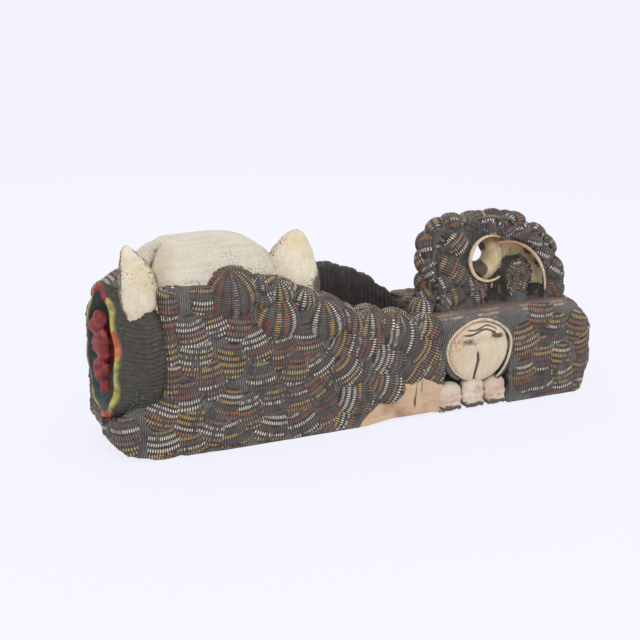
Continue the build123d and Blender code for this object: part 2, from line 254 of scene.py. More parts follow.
# Paint colours, linear.
GROUND_DARK = (0.032, 0.027, 0.024)
GROUND = (0.100, 0.088, 0.076)
GROUND_WORN = (0.180, 0.178, 0.155)
DOT_WHITE = (0.72, 0.66, 0.54)
DOT_OCHRE = (0.56, 0.36, 0.11)
DOT_ORANGE = (0.42, 0.15, 0.055)
DOT_RED = (0.27, 0.062, 0.052)
DOT_PINK = (0.33, 0.16, 0.15)
CREAM = (0.63, 0.54, 0.39)
CREAM_PALE = (0.60, 0.545, 0.425)
CREAM_WARM = (0.60, 0.44, 0.25)
# Dark brown of speckles, grime and painted shade.
GRIME_AND_SHADE = (0.10, 0.078, 0.058)


def dotted_paint(name, bright=1.0):
    """Dark paint with rows of dots on gouge grooves.

    The mesh gives row and tick, which count rows and grooves, tone, one number per carved bump,
    and rim, which is 0 at a bump's edge.
    """
    g = Graph(name)
    row = g.attribute("row")
    tick = g.attribute("tick")
    tone = g.attribute("tone")
    rim = g.attribute("rim")
    place = g.place()
    row_index = g.math("FLOOR", row)
    across_row = g.math("ABSOLUTE", g.math("SUBTRACT", g.math("FRACT", row), 0.5))
    across_tick = g.math("ABSOLUTE", g.math("SUBTRACT", g.math("FRACT", tick), 0.5))
    ridge = g.step(across_tick, 0.38, 0.14)
    in_row = g.step(across_row, 0.31, 0.20)
    dot = g.math("MULTIPLY", ridge, in_row)
    pick = g.random_value(row_index, g.math("MULTIPLY", tone, 97.0))
    palette = g.ramp(pick, [
        (0.0, DOT_WHITE), (0.27, DOT_OCHRE), (0.50, DOT_ORANGE), (0.64, DOT_RED), (0.76, DOT_PINK),
        (0.86, GROUND)], "CONSTANT")
    single = g.random_value(g.math("FLOOR", tick), g.math("ADD", row_index, g.math("MULTIPLY", tone, 31.0)))
    worn = g.noise(place, 55.0, 4.0)
    kept = g.step(g.math("ADD", worn, g.math("MULTIPLY", single, 0.22)), 0.44, 0.60)
    painted = g.math("MULTIPLY", dot, kept)
    painted = g.math("MULTIPLY", painted, g.step(rim, 0.03, 0.16))
    base = g.mix(g.noise(place, 30.0, 5.0), GROUND_DARK, GROUND)
    base = g.mix(g.math("MULTIPLY", ridge, g.step(g.noise(place, 90.0, 3.0), 0.30, 0.75)), base, GROUND_WORN)
    base = g.mix(g.step(across_row, 0.44, 0.50), base, GROUND_DARK)
    # Darker towards a bump's edge: painted shade where the bump sinks into the surface.
    base = g.mix(g.step(rim, 0.10, 0.0), base, GROUND_DARK)
    colour = g.mix(g.math("MULTIPLY", painted, bright), base, palette)
    height = g.math("ADD", ridge, g.math("MULTIPLY", dot, 0.5))
    height = g.math("ADD", height, g.math("MULTIPLY", g.noise(place, 400.0, 2.0), 0.4))
    return g.finish(colour, g.ramp(worn, [(0.3, (0.5,) * 3), (0.7, (0.78,) * 3)]), height, 0.0011)


def log_paint(name):
    """Ground of the log: dark worn paint combed with fine gouge lines, and the bare cream belly."""
    g = Graph(name)
    place = g.place()
    x, y, z = g.separate(place)
    wobble = g.noise(place, 22.0, 3.0)
    comb = g.math("ADD", g.math("MULTIPLY", x, 1.25 / TICK_PITCH), g.math("MULTIPLY", wobble, 4.0))
    ridge = g.step(g.math("ABSOLUTE", g.math("SUBTRACT", g.math("FRACT", comb), 0.5)), 0.42, 0.12)
    worn = g.noise(place, 40.0, 5.0)
    base = g.mix(worn, GROUND_DARK, GROUND)
    base = g.mix(g.math("MULTIPLY", ridge, g.step(worn, 0.22, 0.60)), base, GROUND_WORN)
    shoulder = g.math("MULTIPLY", g.step(z, 0.126, 0.142), g.step(x, 0.075, 0.095))
    # Painted highlight: the upper shoulder band is painted a lighter, patchy brownish-grey where the rounded
    # top of the log faces the light.
    shoulder_highlight = g.mix(g.noise(place, 120.0, 4.0), (0.11, 0.092, 0.078), (0.26, 0.215, 0.185))
    base = g.mix(g.math("MULTIPLY", shoulder, 0.75), base, shoulder_highlight)
    lines = g.math("ADD", g.math("MULTIPLY", g.math("ADD", z, g.math("MULTIPLY", y, 0.35)), 160.0), wobble)
    faint = g.step(g.math("ABSOLUTE", g.math("SUBTRACT", g.math("FRACT", lines), 0.5)), 0.34, 0.18)
    patches = g.step(g.noise(place, 60.0, 2.0), 0.42, 0.62)
    faint = g.math("MULTIPLY", g.math("MULTIPLY", faint, ridge), patches)
    line_tint = g.ramp(g.random_value(g.math("FLOOR", lines), 4.0), [
        (0.0, DOT_WHITE), (0.4, DOT_PINK), (0.6, DOT_OCHRE), (0.8, DOT_RED)], "CONSTANT")
    base = g.mix(g.math("MULTIPLY", g.math("MULTIPLY", faint, shoulder), 0.75), base, line_tint)
    belly = g.attribute("belly")
    jag = g.math("ADD", belly, g.math("MULTIPLY", g.math("SUBTRACT", g.noise(place, 45.0, 2.0), 0.5), 0.35))
    grain = g.noise(g.scaled(place, (9.0, 9.0, 60.0)), 3.0, 5.0)
    wood = g.mix(grain, (0.42, 0.27, 0.15), (0.62, 0.46, 0.29))
    wood = g.mix(g.step(g.noise(place, 28.0, 4.0), 0.50, 0.75), wood, (0.34, 0.19, 0.11))
    wood = g.mix(g.step(g.noise(g.scaled(place, (60.0, 60.0, 5.0)), 2.0, 2.0), 0.66, 0.72), wood, GRIME_AND_SHADE)
    colour = g.mix(g.step(jag, 0.46, 0.54), base, wood)
    mouth = g.attribute("mouth")
    colour = g.mix(mouth, colour, g.mix(worn, (0.10, 0.012, 0.010), (0.25, 0.03, 0.022)))
    height = g.math("MULTIPLY", ridge, g.step(jag, 0.54, 0.46))
    return g.finish(colour, 0.72, height, 0.0009)


def cream_paint(name, tint=CREAM, grain_axes=(6.0, 40.0, 60.0), speckle=0.5, stain=CREAM_WARM):
    """Cream paint rubbed thin over wood: grain streaks, dark speckles, and a darkening given by the mesh,
    partly grime and partly painted shade in creases, seams and where parts meet.
    """
    g = Graph(name)
    place = g.place()
    grime_and_shade = g.attribute("grime_and_shade")
    grain = g.noise(g.scaled(place, grain_axes), 4.0, 6.0, 0.6)
    colour = g.mix(grain, tuple(0.72 * c for c in tint), tuple(min(1.0, 1.16 * c) for c in tint))
    colour = g.mix(g.step(g.noise(place, 14.0, 3.0), 0.52, 0.70), colour, stain)
    fleck = g.step(g.noise(place, 380.0, 2.0), 0.53, 0.62)
    # Speckles gather where the mesh darkens the paint, partly grime and partly painted shade.
    reach = g.math("ADD", g.noise(place, 26.0, 3.0), g.math("MULTIPLY", grime_and_shade, 0.60))
    speckled = g.math("MULTIPLY", g.math("MULTIPLY", fleck, g.step(reach, 0.50, 0.85)), speckle)
    colour = g.mix(speckled, colour, GRIME_AND_SHADE)
    # Darkening from the mesh: partly grime, partly painted shade in creases, seams and where parts meet.
    dirt_and_shade = g.step(g.math("ADD", grime_and_shade, g.math("MULTIPLY", g.noise(place, 90.0, 4.0), 0.6)), 0.72, 1.15)
    colour = g.mix(dirt_and_shade, colour, GRIME_AND_SHADE)
    return g.finish(colour, 0.62, g.math("ADD", grain, g.math("MULTIPLY", fleck, -0.5)), 0.0006)


def brushed_paint(name, roughness=0.6, streak=(40.0, 40.0, 40.0)):
    """Hand-brushed paint in the mesh's own colours, with streaks, wear and grime."""
    g = Graph(name)
    place = g.place()
    paint = g.attribute("paint", colour=True)
    streaks = g.noise(g.scaled(place, streak), 3.0, 5.0)
    colour = g.mix(g.step(streaks, 0.35, 0.62), g.mix(0.55, paint, GROUND_DARK), paint)
    wear = g.math("MULTIPLY", g.step(g.noise(place, 150.0, 3.0), 0.58, 0.80), 0.5)
    colour = g.mix(wear, colour, GROUND_WORN)
    return g.finish(colour, roughness, streaks, 0.0012)


def plain_wood(name):
    g = Graph(name)
    rings = g.noise(g.scaled(g.place(), (30.0, 30.0, 200.0)), 2.0, 4.0)
    return g.finish(g.mix(rings, (0.30, 0.17, 0.08), (0.46, 0.29, 0.15)), 0.6, rings, 0.0003)


SCALE_PAINT = dotted_paint("scale_paint")
TAIL_PAINT = dotted_paint("tail_paint", 0.9)
LOG_PAINT = log_paint("log_paint")
SKULL_PAINT = cream_paint("bare_wood", CREAM_PALE, (5.0, 30.0, 70.0), 0.7, (0.50, 0.42, 0.30))
HORN_PAINT = cream_paint("horn_paint", (0.70, 0.62, 0.45), (30.0, 30.0, 8.0), 1.0, (0.62, 0.53, 0.34))
LIMB_PAINT = cream_paint("limb_paint", (0.66, 0.55, 0.38), (30.0, 30.0, 10.0), 0.6, (0.60, 0.43, 0.28))
PAW_PAINT = cream_paint("paw_paint", (0.66, 0.56, 0.43), (40.0, 40.0, 20.0), 0.6, (0.55, 0.36, 0.26))
GROOVE_PAINT = cream_paint("groove_paint", (0.62, 0.49, 0.30), (30.0, 30.0, 30.0), 0.3, (0.40, 0.20, 0.08))
EAR_PAINT = brushed_paint("ear_paint", 0.62)
TUFT_PAINT = brushed_paint("tuft_paint", 0.5)
FACE_PAINT = brushed_paint("face_paint", 0.55)
DOWEL_WOOD = plain_wood("dowel_wood")


# ---------------------------------------------------------------- carved relief
class Relief:
    """Carved bumps collected into one mesh, each with its own rows and grooves."""

    def __init__(self, tree=None):
        self.tree = tree
        self.points = []
        self.faces = []
        self.values = {"row": [], "tick": [], "tone": [], "rim": []}

    def add_grid(self, rows, columns, cells, tone):
        """cells lists (point, row, tick, rim) by rows."""
        self.faces += grid_faces(rows, columns, start=len(self.points))
        for point, row, tick, rim in cells:
            self.points.append(point)
            self.values["row"].append(row)
            self.values["tick"].append(tick)
            self.values["tone"].append(tone)
            self.values["rim"].append(rim)

    def seat(self, point, height):
        """Move a point onto the base surface and then height outwards."""
        spot, normal, _, _ = self.tree.find_nearest(point)
        place = spot + normal * height
        place.z = max(place.z, 0.0004)
        return place

    def scale(self, place, normal, down, length, width, height, tone, fan=0.9):
        """Overlapping scale: a fan of ridged arcs round its root, in steps that swell to its free end."""
        down = (down - normal * down.dot(normal)).normalized()
        side = normal.cross(down)
        root = fan * length
        rows = max(3, round(length / ROW_PITCH))
        steps = rows * SAMPLES_PER_ROW + 1
        cells = []
        for i in range(steps):
            t = i / (steps - 1)
            row = t * rows
            radius = root + t * length
            half = 0.5 * width * max(0.0, 1 - abs(1.9 * t - 0.95) ** 2.6) ** 0.5
            reach = half / radius
            swell = math.sin(math.pi * (0.10 + 0.78 * t)) ** 0.6
            layer = 0.74 + 0.26 * ((row / ROWS_PER_LAYER) % 1.0)
            ridge = ROW_RELIEF * math.sin(math.pi * (row % 1.0)) ** 0.5
            for j in range(SCALE_ACROSS):
                s = -1 + 2 * j / (SCALE_ACROSS - 1)
                angle = s * reach
                along = radius * math.cos(angle) - root - 0.5 * length
                point = place + down * along + side * (radius * math.sin(angle))
                dome = max(0.0, 1 - abs(s) ** 2.4) ** 0.7
                edge = min(1 - abs(s), 1.6 * t, 1.6 * (1 - t))
                lift = dome * (height * swell * layer + ridge) - SUNK
                tick = angle * (root + 0.6 * length) / TICK_PITCH
                cells.append((self.seat(point, lift), row, tick + 40.0, edge))
        self.add_grid(steps, SCALE_ACROSS, cells, tone)

    def knob(self, place, normal, down, length, width, height, tone, rows=4):
        """Small round bump crossed by a few straight dotted rows."""
        down = (down - normal * down.dot(normal)).normalized()
        side = normal.cross(down)
        count = 9
        cells = []
        for i in range(count):
            t = -1 + 2 * i / (count - 1)
            reach = math.sqrt(max(0.0, 1 - t * t))
            for j in range(count):
                s = -1 + 2 * j / (count - 1)
                point = place + down * (0.5 * length * t) + side * (0.5 * width * s * max(reach, 0.02))
                inside = max(0.0, 1 - t * t - (s * reach) ** 2)
                lift = height * inside ** 0.6 - 0.002
                edge = min(1.0, 1.3 * inside)
                row = (t + 1) / 2 * rows
                tick = s * reach * 0.5 * width / TICK_PITCH
                cells.append((self.seat(point, lift), row, tick + 40.0, edge))
        self.add_grid(count, count, cells, tone)

    def curl(self, centre, axis, radius, meridians, tone):
        """Ball of mane hair: dotted rows run from its crown like segments of a pumpkin."""
        axis = axis.normalized()
        side = axis.orthogonal().normalized()
        front = axis.cross(side)
        rings, around = 16, meridians * 4
        cells = []
        for i in range(rings):
            polar = math.pi * 0.70 * i / (rings - 1)
            for j in range(around + 1):
                turn = j / around
                azimuth = 2 * math.pi * turn
                groove = abs(math.sin(math.pi * meridians * turn))
                size = radius * (0.955 + 0.055 * groove ** 0.7 * min(1.0, 3 * polar))
                outward = side * math.cos(azimuth) + front * math.sin(azimuth)
                point = centre + axis * (size * 0.92 * math.cos(polar)) + outward * (size * math.sin(polar))
                cells.append((point, turn * meridians, polar * radius / TICK_PITCH, min(1.0, 0.25 + polar)))
        self.add_grid(rings, around + 1, cells, tone)

    def build(self, name, material):
        return mesh_object(name, self.points, self.faces, [material], self.values)


# ---------------------------------------------------------------- shape helpers
def smooth_step(value, low, high):
    t = min(1.0, max(0.0, (value - low) / (high - low)))
    return t * t * (3 - 2 * t)


def hill(value, width):
    return math.exp(-(value / width) ** 2)


def interpolated(stops, value):
    """Value of a smooth line through (place, value) stops."""
    if value <= stops[0][0]:
        return stops[0][1]
    for (a, low), (b, high) in zip(stops, stops[1:]):
        if value <= b:
            t = (value - a) / (b - a)
            return low + (high - low) * t * t * (3 - 2 * t)
    return stops[-1][1]


def linear(stops, value):
    """Value of a broken line through (place, value) stops."""
    for (a, low), (b, high) in zip(stops, stops[1:]):
        if value <= b:
            return low + (high - low) * max(0.0, value - a) / (b - a)
    return stops[-1][1]


def blend_colour(a, b, t):
    return tuple(p + (q - p) * t for p, q in zip(a, b))


def ball(centre, radii, turn=None, rings=14, around=20):
    """Points and faces of an ellipsoid."""
    points = []
    for i in range(rings + 1):
        polar = math.pi * i / rings
        for j in range(around):
            azimuth = 2 * math.pi * j / around
            point = Vector((
                radii[0] * math.sin(polar) * math.cos(azimuth),
                radii[1] * math.sin(polar) * math.sin(azimuth),
                radii[2] * math.cos(polar)))
            if turn:
                point = turn @ point
            points.append(Vector(centre) + point)
    return points, grid_faces(rings + 1, around, closed=True)


def blobs_object(name, blobs, voxel, smoothing, materials):
    """One closed skin over overlapping ellipsoids: (centre, radii) or (centre, radii, turn)."""
    points, faces = [], []
    for blob in blobs:
        more_points, more_faces = ball(*blob)
        start = len(points)
        points += more_points
        faces += [tuple(start + i for i in face) for face in more_faces]
    piece = mesh_object(name, points, faces, materials)
    remesh = piece.modifiers.new("remesh", "REMESH")
    remesh.mode = "VOXEL"
    remesh.voxel_size = voxel
    soften = piece.modifiers.new("soften", "SMOOTH")
    soften.factor = 0.5
    soften.iterations = smoothing
    apply_modifiers(piece)
    piece.data.polygons.foreach_set("use_smooth", [True] * len(piece.data.polygons))
    return piece


def tube(name, path, radii, materials, around=10, grime_and_shade=None):
    """Closed tube along a list of points, with a radius at each."""
    points = []
    for i, centre in enumerate(path):
        ahead = (path[min(i + 1, len(path) - 1)] - path[max(i - 1, 0)]).normalized()
        side = ahead.cross(FAR)
        side = side.normalized() if side.length > 1e-4 else ahead.orthogonal().normalized()
        lift = side.cross(ahead)
        for j in range(around):
            turn = 2 * math.pi * j / around
            points.append(centre + (side * math.cos(turn) + lift * math.sin(turn)) * radii[i])
    faces = grid_faces(len(path), around, closed=True)
    faces.append(tuple(reversed(range(around))))
    faces.append(tuple(range(len(points) - around, len(points))))
    return mesh_object(name, points, faces, materials, {"grime_and_shade": grime_and_shade or [0.3] * len(points)})


def set_values(piece, label, function):
    """Give every point of a piece a float made by function from its place and normal."""
    mesh = piece.data
    layer = mesh.attributes.new(label, "FLOAT", "POINT")
    layer.data.foreach_set("value", [function(v.co, v.normal) for v in mesh.vertices])


def set_paint(piece, function):
    """Give every point of a piece a paint colour made by function from its place and normal."""
    mesh = piece.data
    layer = mesh.attributes.new("paint", "FLOAT_COLOR", "POINT")
    layer.data.foreach_set("color", [c for v in mesh.vertices for c in (*function(v.co, v.normal), 1.0)])


def displace(piece, function):
    """Move every point along its normal by function of its place."""
    mesh = piece.data
    moved = [c for v in mesh.vertices for c in v.co + v.normal * function(v.co, v.normal)]
    mesh.vertices.foreach_set("co", moved)
    mesh.update()


# ---------------------------------------------------------------- log
LEG_X = sum(c.x for c in map(Vector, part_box("near_knee"))) / 2
KNEE_LOW, KNEE_HIGH = (Vector(c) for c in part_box("near_knee"))
LEG_RECESS = 0.053
HEAD_X = sum(c[0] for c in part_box("skull_cap")) / 2
NAPE_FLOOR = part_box("right_ear")[0][2]
EAR_X = (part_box("right_ear")[0][0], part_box("right_ear")[1][0])
MOUTH_X = (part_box("lower_jaw")[0][0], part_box("lower_jaw")[1][0])
FLAME = [(-0.030, 0.0), (0.012, 0.037), (0.034, 0.028), (0.048, 0.063), (0.058, 0.046), (0.064, 0.073),
         (0.080, 0.057), (0.100, 0.044), (0.116, 0.040)]


def belly_value(place, normal):
    """Above 0.5 where the cream flames of the belly lick up a flank, in front of the hind leg."""
    if not FLAME[0][0] < place.x < FLAME[-1][0]:
        return 0.0
    return min(1.0, max(0.0, 0.5 + (linear(FLAME, place.x) - place.z) / 0.018))


def mouth_value(place, normal):
    inside = MOUTH_X[0] < place.x < MOUTH_X[1] and 0.066 < place.z < 0.122
    return 1.0 if inside and 0.0 < place.y < FAR_Y - 0.004 else 0.0


SKIN = 0.0036                 # the log lies this far inside the tops of its scales
HORN_FOOT = Vector((-0.338, -0.088, 0.205))


def log_relief(place, normal):
    """How far the log's skin stands out: sunk under the scales, at the left horn and behind the ear."""
    wander = 0.0016 * noise.noise(place * 28) + 0.0007 * noise.noise(place * 90)
    foot = place - HORN_FOOT
    socket = 0.020 * hill(foot.x, 0.026) * hill(foot.y, 0.05) * hill(foot.z, 0.042)
    sunk = SKIN * smooth_step(place.z, 0.0, 0.006) * smooth_step(1 + normal.z, 0.05, 0.3)
    behind_ear = 0.012 * smooth_step(-place.x, 0.296, 0.314) * smooth_step(-normal.y, 0.1, 0.4)
    behind_ear *= smooth_step(place.z, 0.058, 0.080) * (1 - smooth_step(place.z, 0.205, 0.222))
    return wander - sunk - socket - behind_ear


def worn_ends(place):
    """The log's place with its rump worn rounder, its lower left corner fuller and its belly arched."""
    x, y, z = place
    low = 1 - smooth_step(z, 0.0, 0.05)
    arch = smooth_step(x, -0.03, 0.03) * (1 - smooth_step(x, 0.08, 0.118))
    rump_top = smooth_step(x, 0.300, 0.385) * smooth_step(z, 0.06, 0.15)
    rump_foot = smooth_step(x, 0.320, 0.385) * low
    corner = smooth_step(-x, 0.290, 0.340) * smooth_step(-y, 0.000, 0.050)
    corner *= 1 - smooth_step(z, 0.02, 0.075)
    lifted = smooth_step(-x, 0.220, 0.300) * smooth_step(-y, 0.060, 0.090) * low
    rump_edge = smooth_step(x, 0.330, 0.385) * smooth_step(z, 0.09, 0.15)
    behind_horn = hill(x + 0.335, 0.020) * smooth_step(-y, 0.055, 0.075) * hill(z - 0.195, 0.028)
    x -= 0.013 * rump_foot + 0.012 * corner + 0.012 * rump_edge
    y += 0.020 * behind_horn
    z = max(z, 0.0004) + (0.005 * arch + 0.004 * lifted) * low - 0.022 * rump_top
    return Vector((x, y, z))


def make_log():
    log = remeshed_nodes("carved_log", ["carved_body"], 0.0034, 3, [LOG_PAINT])
    displace(log, log_relief)
    for vertex in log.data.vertices:
        vertex.co = worn_ends(vertex.co)
    set_values(log, "belly", belly_value)
    set_values(log, "mouth", mouth_value)
    return put(log, "scale_paint", "carved_body")


LOG = make_log()
LOG_TREE = bvh_of(LOG)


# Rows of curls of the mane: X, Y and Z near the surface, and radius.
NEAR_CURLS = [
    (-0.210, -0.094, 0.210, 0.041), (-0.148, -0.092, 0.172, 0.038), (-0.142, -0.090, 0.205, 0.021),
    (-0.168, -0.094, 0.196, 0.016), (-0.105, -0.086, 0.198, 0.019), (-0.076, -0.092, 0.160, 0.035),
    (-0.034, -0.092, 0.152, 0.021), (-0.040, -0.080, 0.178, 0.021), (-0.074, -0.070, 0.192, 0.018),
    (0.002, -0.074, 0.176, 0.029), (0.044, -0.070, 0.168, 0.028), (0.078, -0.078, 0.160, 0.021),
    (-0.190, -0.086, 0.226, 0.017), (-0.172, -0.082, 0.219, 0.015),
]
FAR_CURLS = [
    (-0.075, 0.058, 0.170, 0.028), (-0.048, 0.050, 0.140, 0.024), (-0.110, 0.052, 0.200, 0.026),
    (-0.140, 0.058, 0.160, 0.026), (-0.340, 0.052, 0.196, 0.020), (-0.338, 0.058, 0.150, 0.021),
    (-0.110, 0.060, 0.130, 0.024),
]
NAPE_CURLS = [
    (-0.052, -0.040, 0.186, 0.022), (-0.058, 0.000, 0.188, 0.022), (-0.090, -0.005, 0.204, 0.022),
    (-0.062, 0.036, 0.184, 0.020), (-0.100, 0.028, 0.208, 0.020), (-0.150, 0.045, 0.216, 0.022),
    (-0.200, 0.056, 0.222, 0.022),
    (-0.255, 0.056, 0.222, 0.022), (-0.302, 0.050, 0.220, 0.022), (0.082, -0.062, 0.150, 0.018),
    (0.096, -0.034, 0.150, 0.018),
]


def curl_fits(place, curls, margin):
    return all((place - Vector((x, y, z))).length > radius + margin for x, y, z, radius in curls)


def make_curls(name, curls, outward, seed):
    """Curls seated on the log with their crowns up and leaning outwards."""
    random.seed(seed)
    relief = Relief()
    for x, y, z, radius in curls:
        spot, normal, _, _ = LOG_TREE.find_nearest(Vector((x, y, z)))
        centre = spot - normal * (0.55 * radius)
        axis = Vector((random.uniform(-0.2, 0.2), 0.0, 1.0)) + outward * random.uniform(0.25, 0.5)
        relief.curl(centre, axis, radius, 8 + round(radius * 260), random.random())
    return put(relief.build(name, SCALE_PAINT), "scale_paint")


make_curls("near_mane_curls", NEAR_CURLS, NEAR, 3)
make_curls("far_mane_curls", FAR_CURLS, FAR, 4)
make_curls("nape_curls", NAPE_CURLS, Vector((0, 0, 0)), 5)

# Scales are thrown onto a fine net round the log and keep their distance from each other.
NET = 0.011
SCALE_GAP = 0.0298
CORE_HALF_DEPTH = (FAR_Y - NEAR_Y) / 2


def swing(x):
    """Angle by which the scales' free ends swing from down towards the tail."""
    lean = interpolated([(-0.14, 0.0), (-0.02, 62.0), (0.03, 78.0), (0.10, 60.0), (0.20, 0.0)], x)
    return math.radians(lean)


def round_the_log(distance):
    """Point of the log's middle line and direction outwards, for a distance along its girth."""
    left = BODY_LOW[0] + CORE_HALF_DEPTH
    right = BODY_HIGH[0] - CORE_HALF_DEPTH
    straight = right - left
    bend = math.pi * CORE_HALF_DEPTH
    if distance < straight:
        return left + distance, NEAR
    distance -= straight
    if distance < bend:
        turn = distance / CORE_HALF_DEPTH
        return right, Vector((math.sin(turn), -math.cos(turn), 0))
    distance -= bend
    if distance < straight:
        return right - distance, FAR
    turn = (distance - straight) / CORE_HALF_DEPTH
    return left, Vector((-math.sin(turn), math.cos(turn), 0))


# Swollen scales above the flames, X and Z on both flanks.
FLAME_SCALES = (
    (0.020, 0.090), (0.076, 0.096), (-0.046, 0.084), (0.018, 0.052), (0.044, 0.120), (-0.030, 0.044))


def bare_of_scales(place, normal):
    """Where the log carries something else than scales."""
    x, y, z = place
    beside_leg = abs(x - LEG_X) < LEG_RECESS + 0.012 and z < KNEE_HIGH.z + 0.016
    on_flank = abs(normal.y) > 0.5
    if on_flank and beside_leg:
        return True
    if y < MIDDLE_Y and z > 0.128 and 0.092 < x < 0.335:
        return True
    if y < MIDDLE_Y and z > 0.100 and abs(x - LEG_X) < 0.074:
        return True
    if on_flank and belly_value(place + Vector((0.008, 0, -0.008)), normal) > 0.2:
        return True
    if (place - HORN_FOOT).length < 0.036:
        return True
    if x < -0.311 and y < 0.03 and 0.052 < z < 0.228:
        return True
    if y > 0.03 and abs(x - HEAD_X) < 0.085 and z < 0.205:
        return True
    inside_nape = EAR_X[0] < x < EAR_X[1] and NEAR_Y + 0.045 < y and z > NAPE_FLOOR - 0.02
    return inside_nape


def flank_spots():
    """Possible places of scales round the log's sides."""
    girth = 2 * (BODY_HIGH[0] - BODY_LOW[0] - 2 * CORE_HALF_DEPTH) + 2 * math.pi * CORE_HALF_DEPTH
    for k in range(int((BODY_HIGH[2] - 0.012) / NET) + 1):
        for column in range(int(girth / NET)):
            x, outward = round_the_log((column + random.random()) * NET)
            z = 0.012 + NET * (k + random.uniform(-0.4, 0.4))
            start = Vector((x, MIDDLE_Y, z)) + outward * 0.4
            spot, normal, _, _ = LOG_TREE.ray_cast(start, -outward)
            if spot and normal.z < 0.72:
                yield spot, normal


def top_spots():
    """Possible places of scales on the log's upper side."""
    for column in range(int((BODY_HIGH[0] - BODY_LOW[0]) / NET)):
        for line in range(int((FAR_Y - NEAR_Y) / NET)):
            x = BODY_LOW[0] + NET * (column + random.random())
            y = NEAR_Y + NET * (line + random.random())
            spot, normal, _, _ = LOG_TREE.ray_cast(Vector((x, y, 0.5)), -UP)
            if spot and normal.z >= 0.72:
                yield spot, normal


def hidden_under_head(spot):
    """Whether the skull covers a place on top of the log."""
    return math.hypot((spot.x - HEAD_X) / 0.100, (spot.y - MIDDLE_Y) / 0.062) < 1 and spot.z > 0.19


def chosen_spots():
    """Places of the scales, well spread: the swollen ones over the flames come first."""
    chosen = []
    for x, z in FLAME_SCALES:
        for side in (-1, 1):
            start = Vector((x, MIDDLE_Y + side * 0.4, z))
            spot, normal, _, _ = LOG_TREE.ray_cast(start, Vector((0, -side, 0)))
            chosen.append((spot, normal, True))
    possible = list(flank_spots()) + list(top_spots())
    random.shuffle(possible)
    all_curls = NEAR_CURLS + FAR_CURLS + NAPE_CURLS
    for spot, normal in possible:
        if bare_of_scales(spot, normal) or hidden_under_head(spot) or not curl_fits(spot, all_curls, -0.002):
            continue
        if all((spot - other).length > SCALE_GAP for other, _, _ in chosen):
            chosen.append((spot, normal, False))
    return chosen


def make_scales():
    """All scales, gathered into a near, a far and a top piece."""
    random.seed(11)
    near, far, top = Relief(LOG_TREE), Relief(LOG_TREE), Relief(LOG_TREE)
    for spot, normal, swollen in chosen_spots():
        lean = swing(spot.x) + random.uniform(-0.35, 0.35)
        if normal.z >= 0.72:
            relief, down = top, Vector((math.cos(0.3 * lean), math.sin(0.5 * lean), -0.3))
        else:
            relief, down = (near if normal.y < 0 else far), Vector((math.sin(lean), 0, -math.cos(lean)))
        size = random.uniform(0.90, 1.10)
        bulge = 0.0095 if swollen else 0.0055
        relief.scale(spot, normal, down, 0.054 * size, 0.052 * size, bulge, random.random())
    put(near.build("near_scales", SCALE_PAINT), "scale_paint")
    put(far.build("far_scales", SCALE_PAINT), "scale_paint")
    put(top.build("top_scales", SCALE_PAINT), "scale_paint")


make_scales()


# ---------------------------------------------------------------- tail
TAIL_LOW, TAIL_HIGH = (Vector(c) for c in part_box("tail_coil"))
TIP_LOW, TIP_HIGH = (Vector(c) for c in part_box("tail_tip"))
TAIL_Y = (TAIL_LOW.y + TAIL_HIGH.y) / 2
TAIL_CENTRE = Vector((0.211, TAIL_Y, 0.157))
TAIL_RADIUS = TAIL_HIGH.z - TAIL_CENTRE.z
EYE = Vector((0.189, TAIL_Y, 0.216))
EYE_RADIUS = 0.031
CHANNEL = Vector((0.211, TAIL_Y, 0.163))
CHANNEL_RADIUS = 0.074


def in_channel(place, margin=0.0):
    """Whether a place lies in the tail's smooth groove or in its eye."""
    near_eye = (place - EYE).xz.length < EYE_RADIUS + margin
    right_of_eye = place.x > EYE.x + 0.018 or (place.z > EYE.z and place.x > EYE.x - 0.012)
    inside = (place - CHANNEL).xz.length < CHANNEL_RADIUS + margin and right_of_eye
    tip = (place - (TIP_LOW + TIP_HIGH) / 2).xz.length < 0.036 - margin or place.z < 0.165
    return near_eye or (inside and not tip)


def tail_edge(turn):
    """Distance of the tail's outer edge from its centre, squarer at the root."""
    reach = TAIL_RADIUS
    if math.cos(turn) < 0:
        reach = min(reach * 1.05, (TAIL_CENTRE.x - TAIL_LOW.x) / -math.cos(turn))
    return reach


def tail_relief(place, normal):
    """The tail's skin is sunk under its knobs, most of all round the rim."""
    if in_channel(place, 0.003):
        return 0.0008 * noise.noise(place * 60)
    return 0.001 * noise.noise(place * 60) - 0.0045 * smooth_step(place.z, 0.150, 0.158)


def rounded_rim(place):
    """The tail's place with its square outer rim drawn in to a round one."""
    away = place - TAIL_CENTRE
    away.y = 0
    inset = tail_edge(math.atan2(away.z, away.x)) - away.length
    off_middle = abs(place.y - TAIL_Y) / (TAIL_HIGH.y - TAIL_Y)
    pull = (1 - smooth_step(inset, 0.0, 0.042)) * (0.006 + 0.015 * off_middle ** 2.5)
    moved = place - away.normalized() * pull
    moved.z -= 0.010 * (1 - smooth_step(place.z, 0.150, 0.160))
    return moved


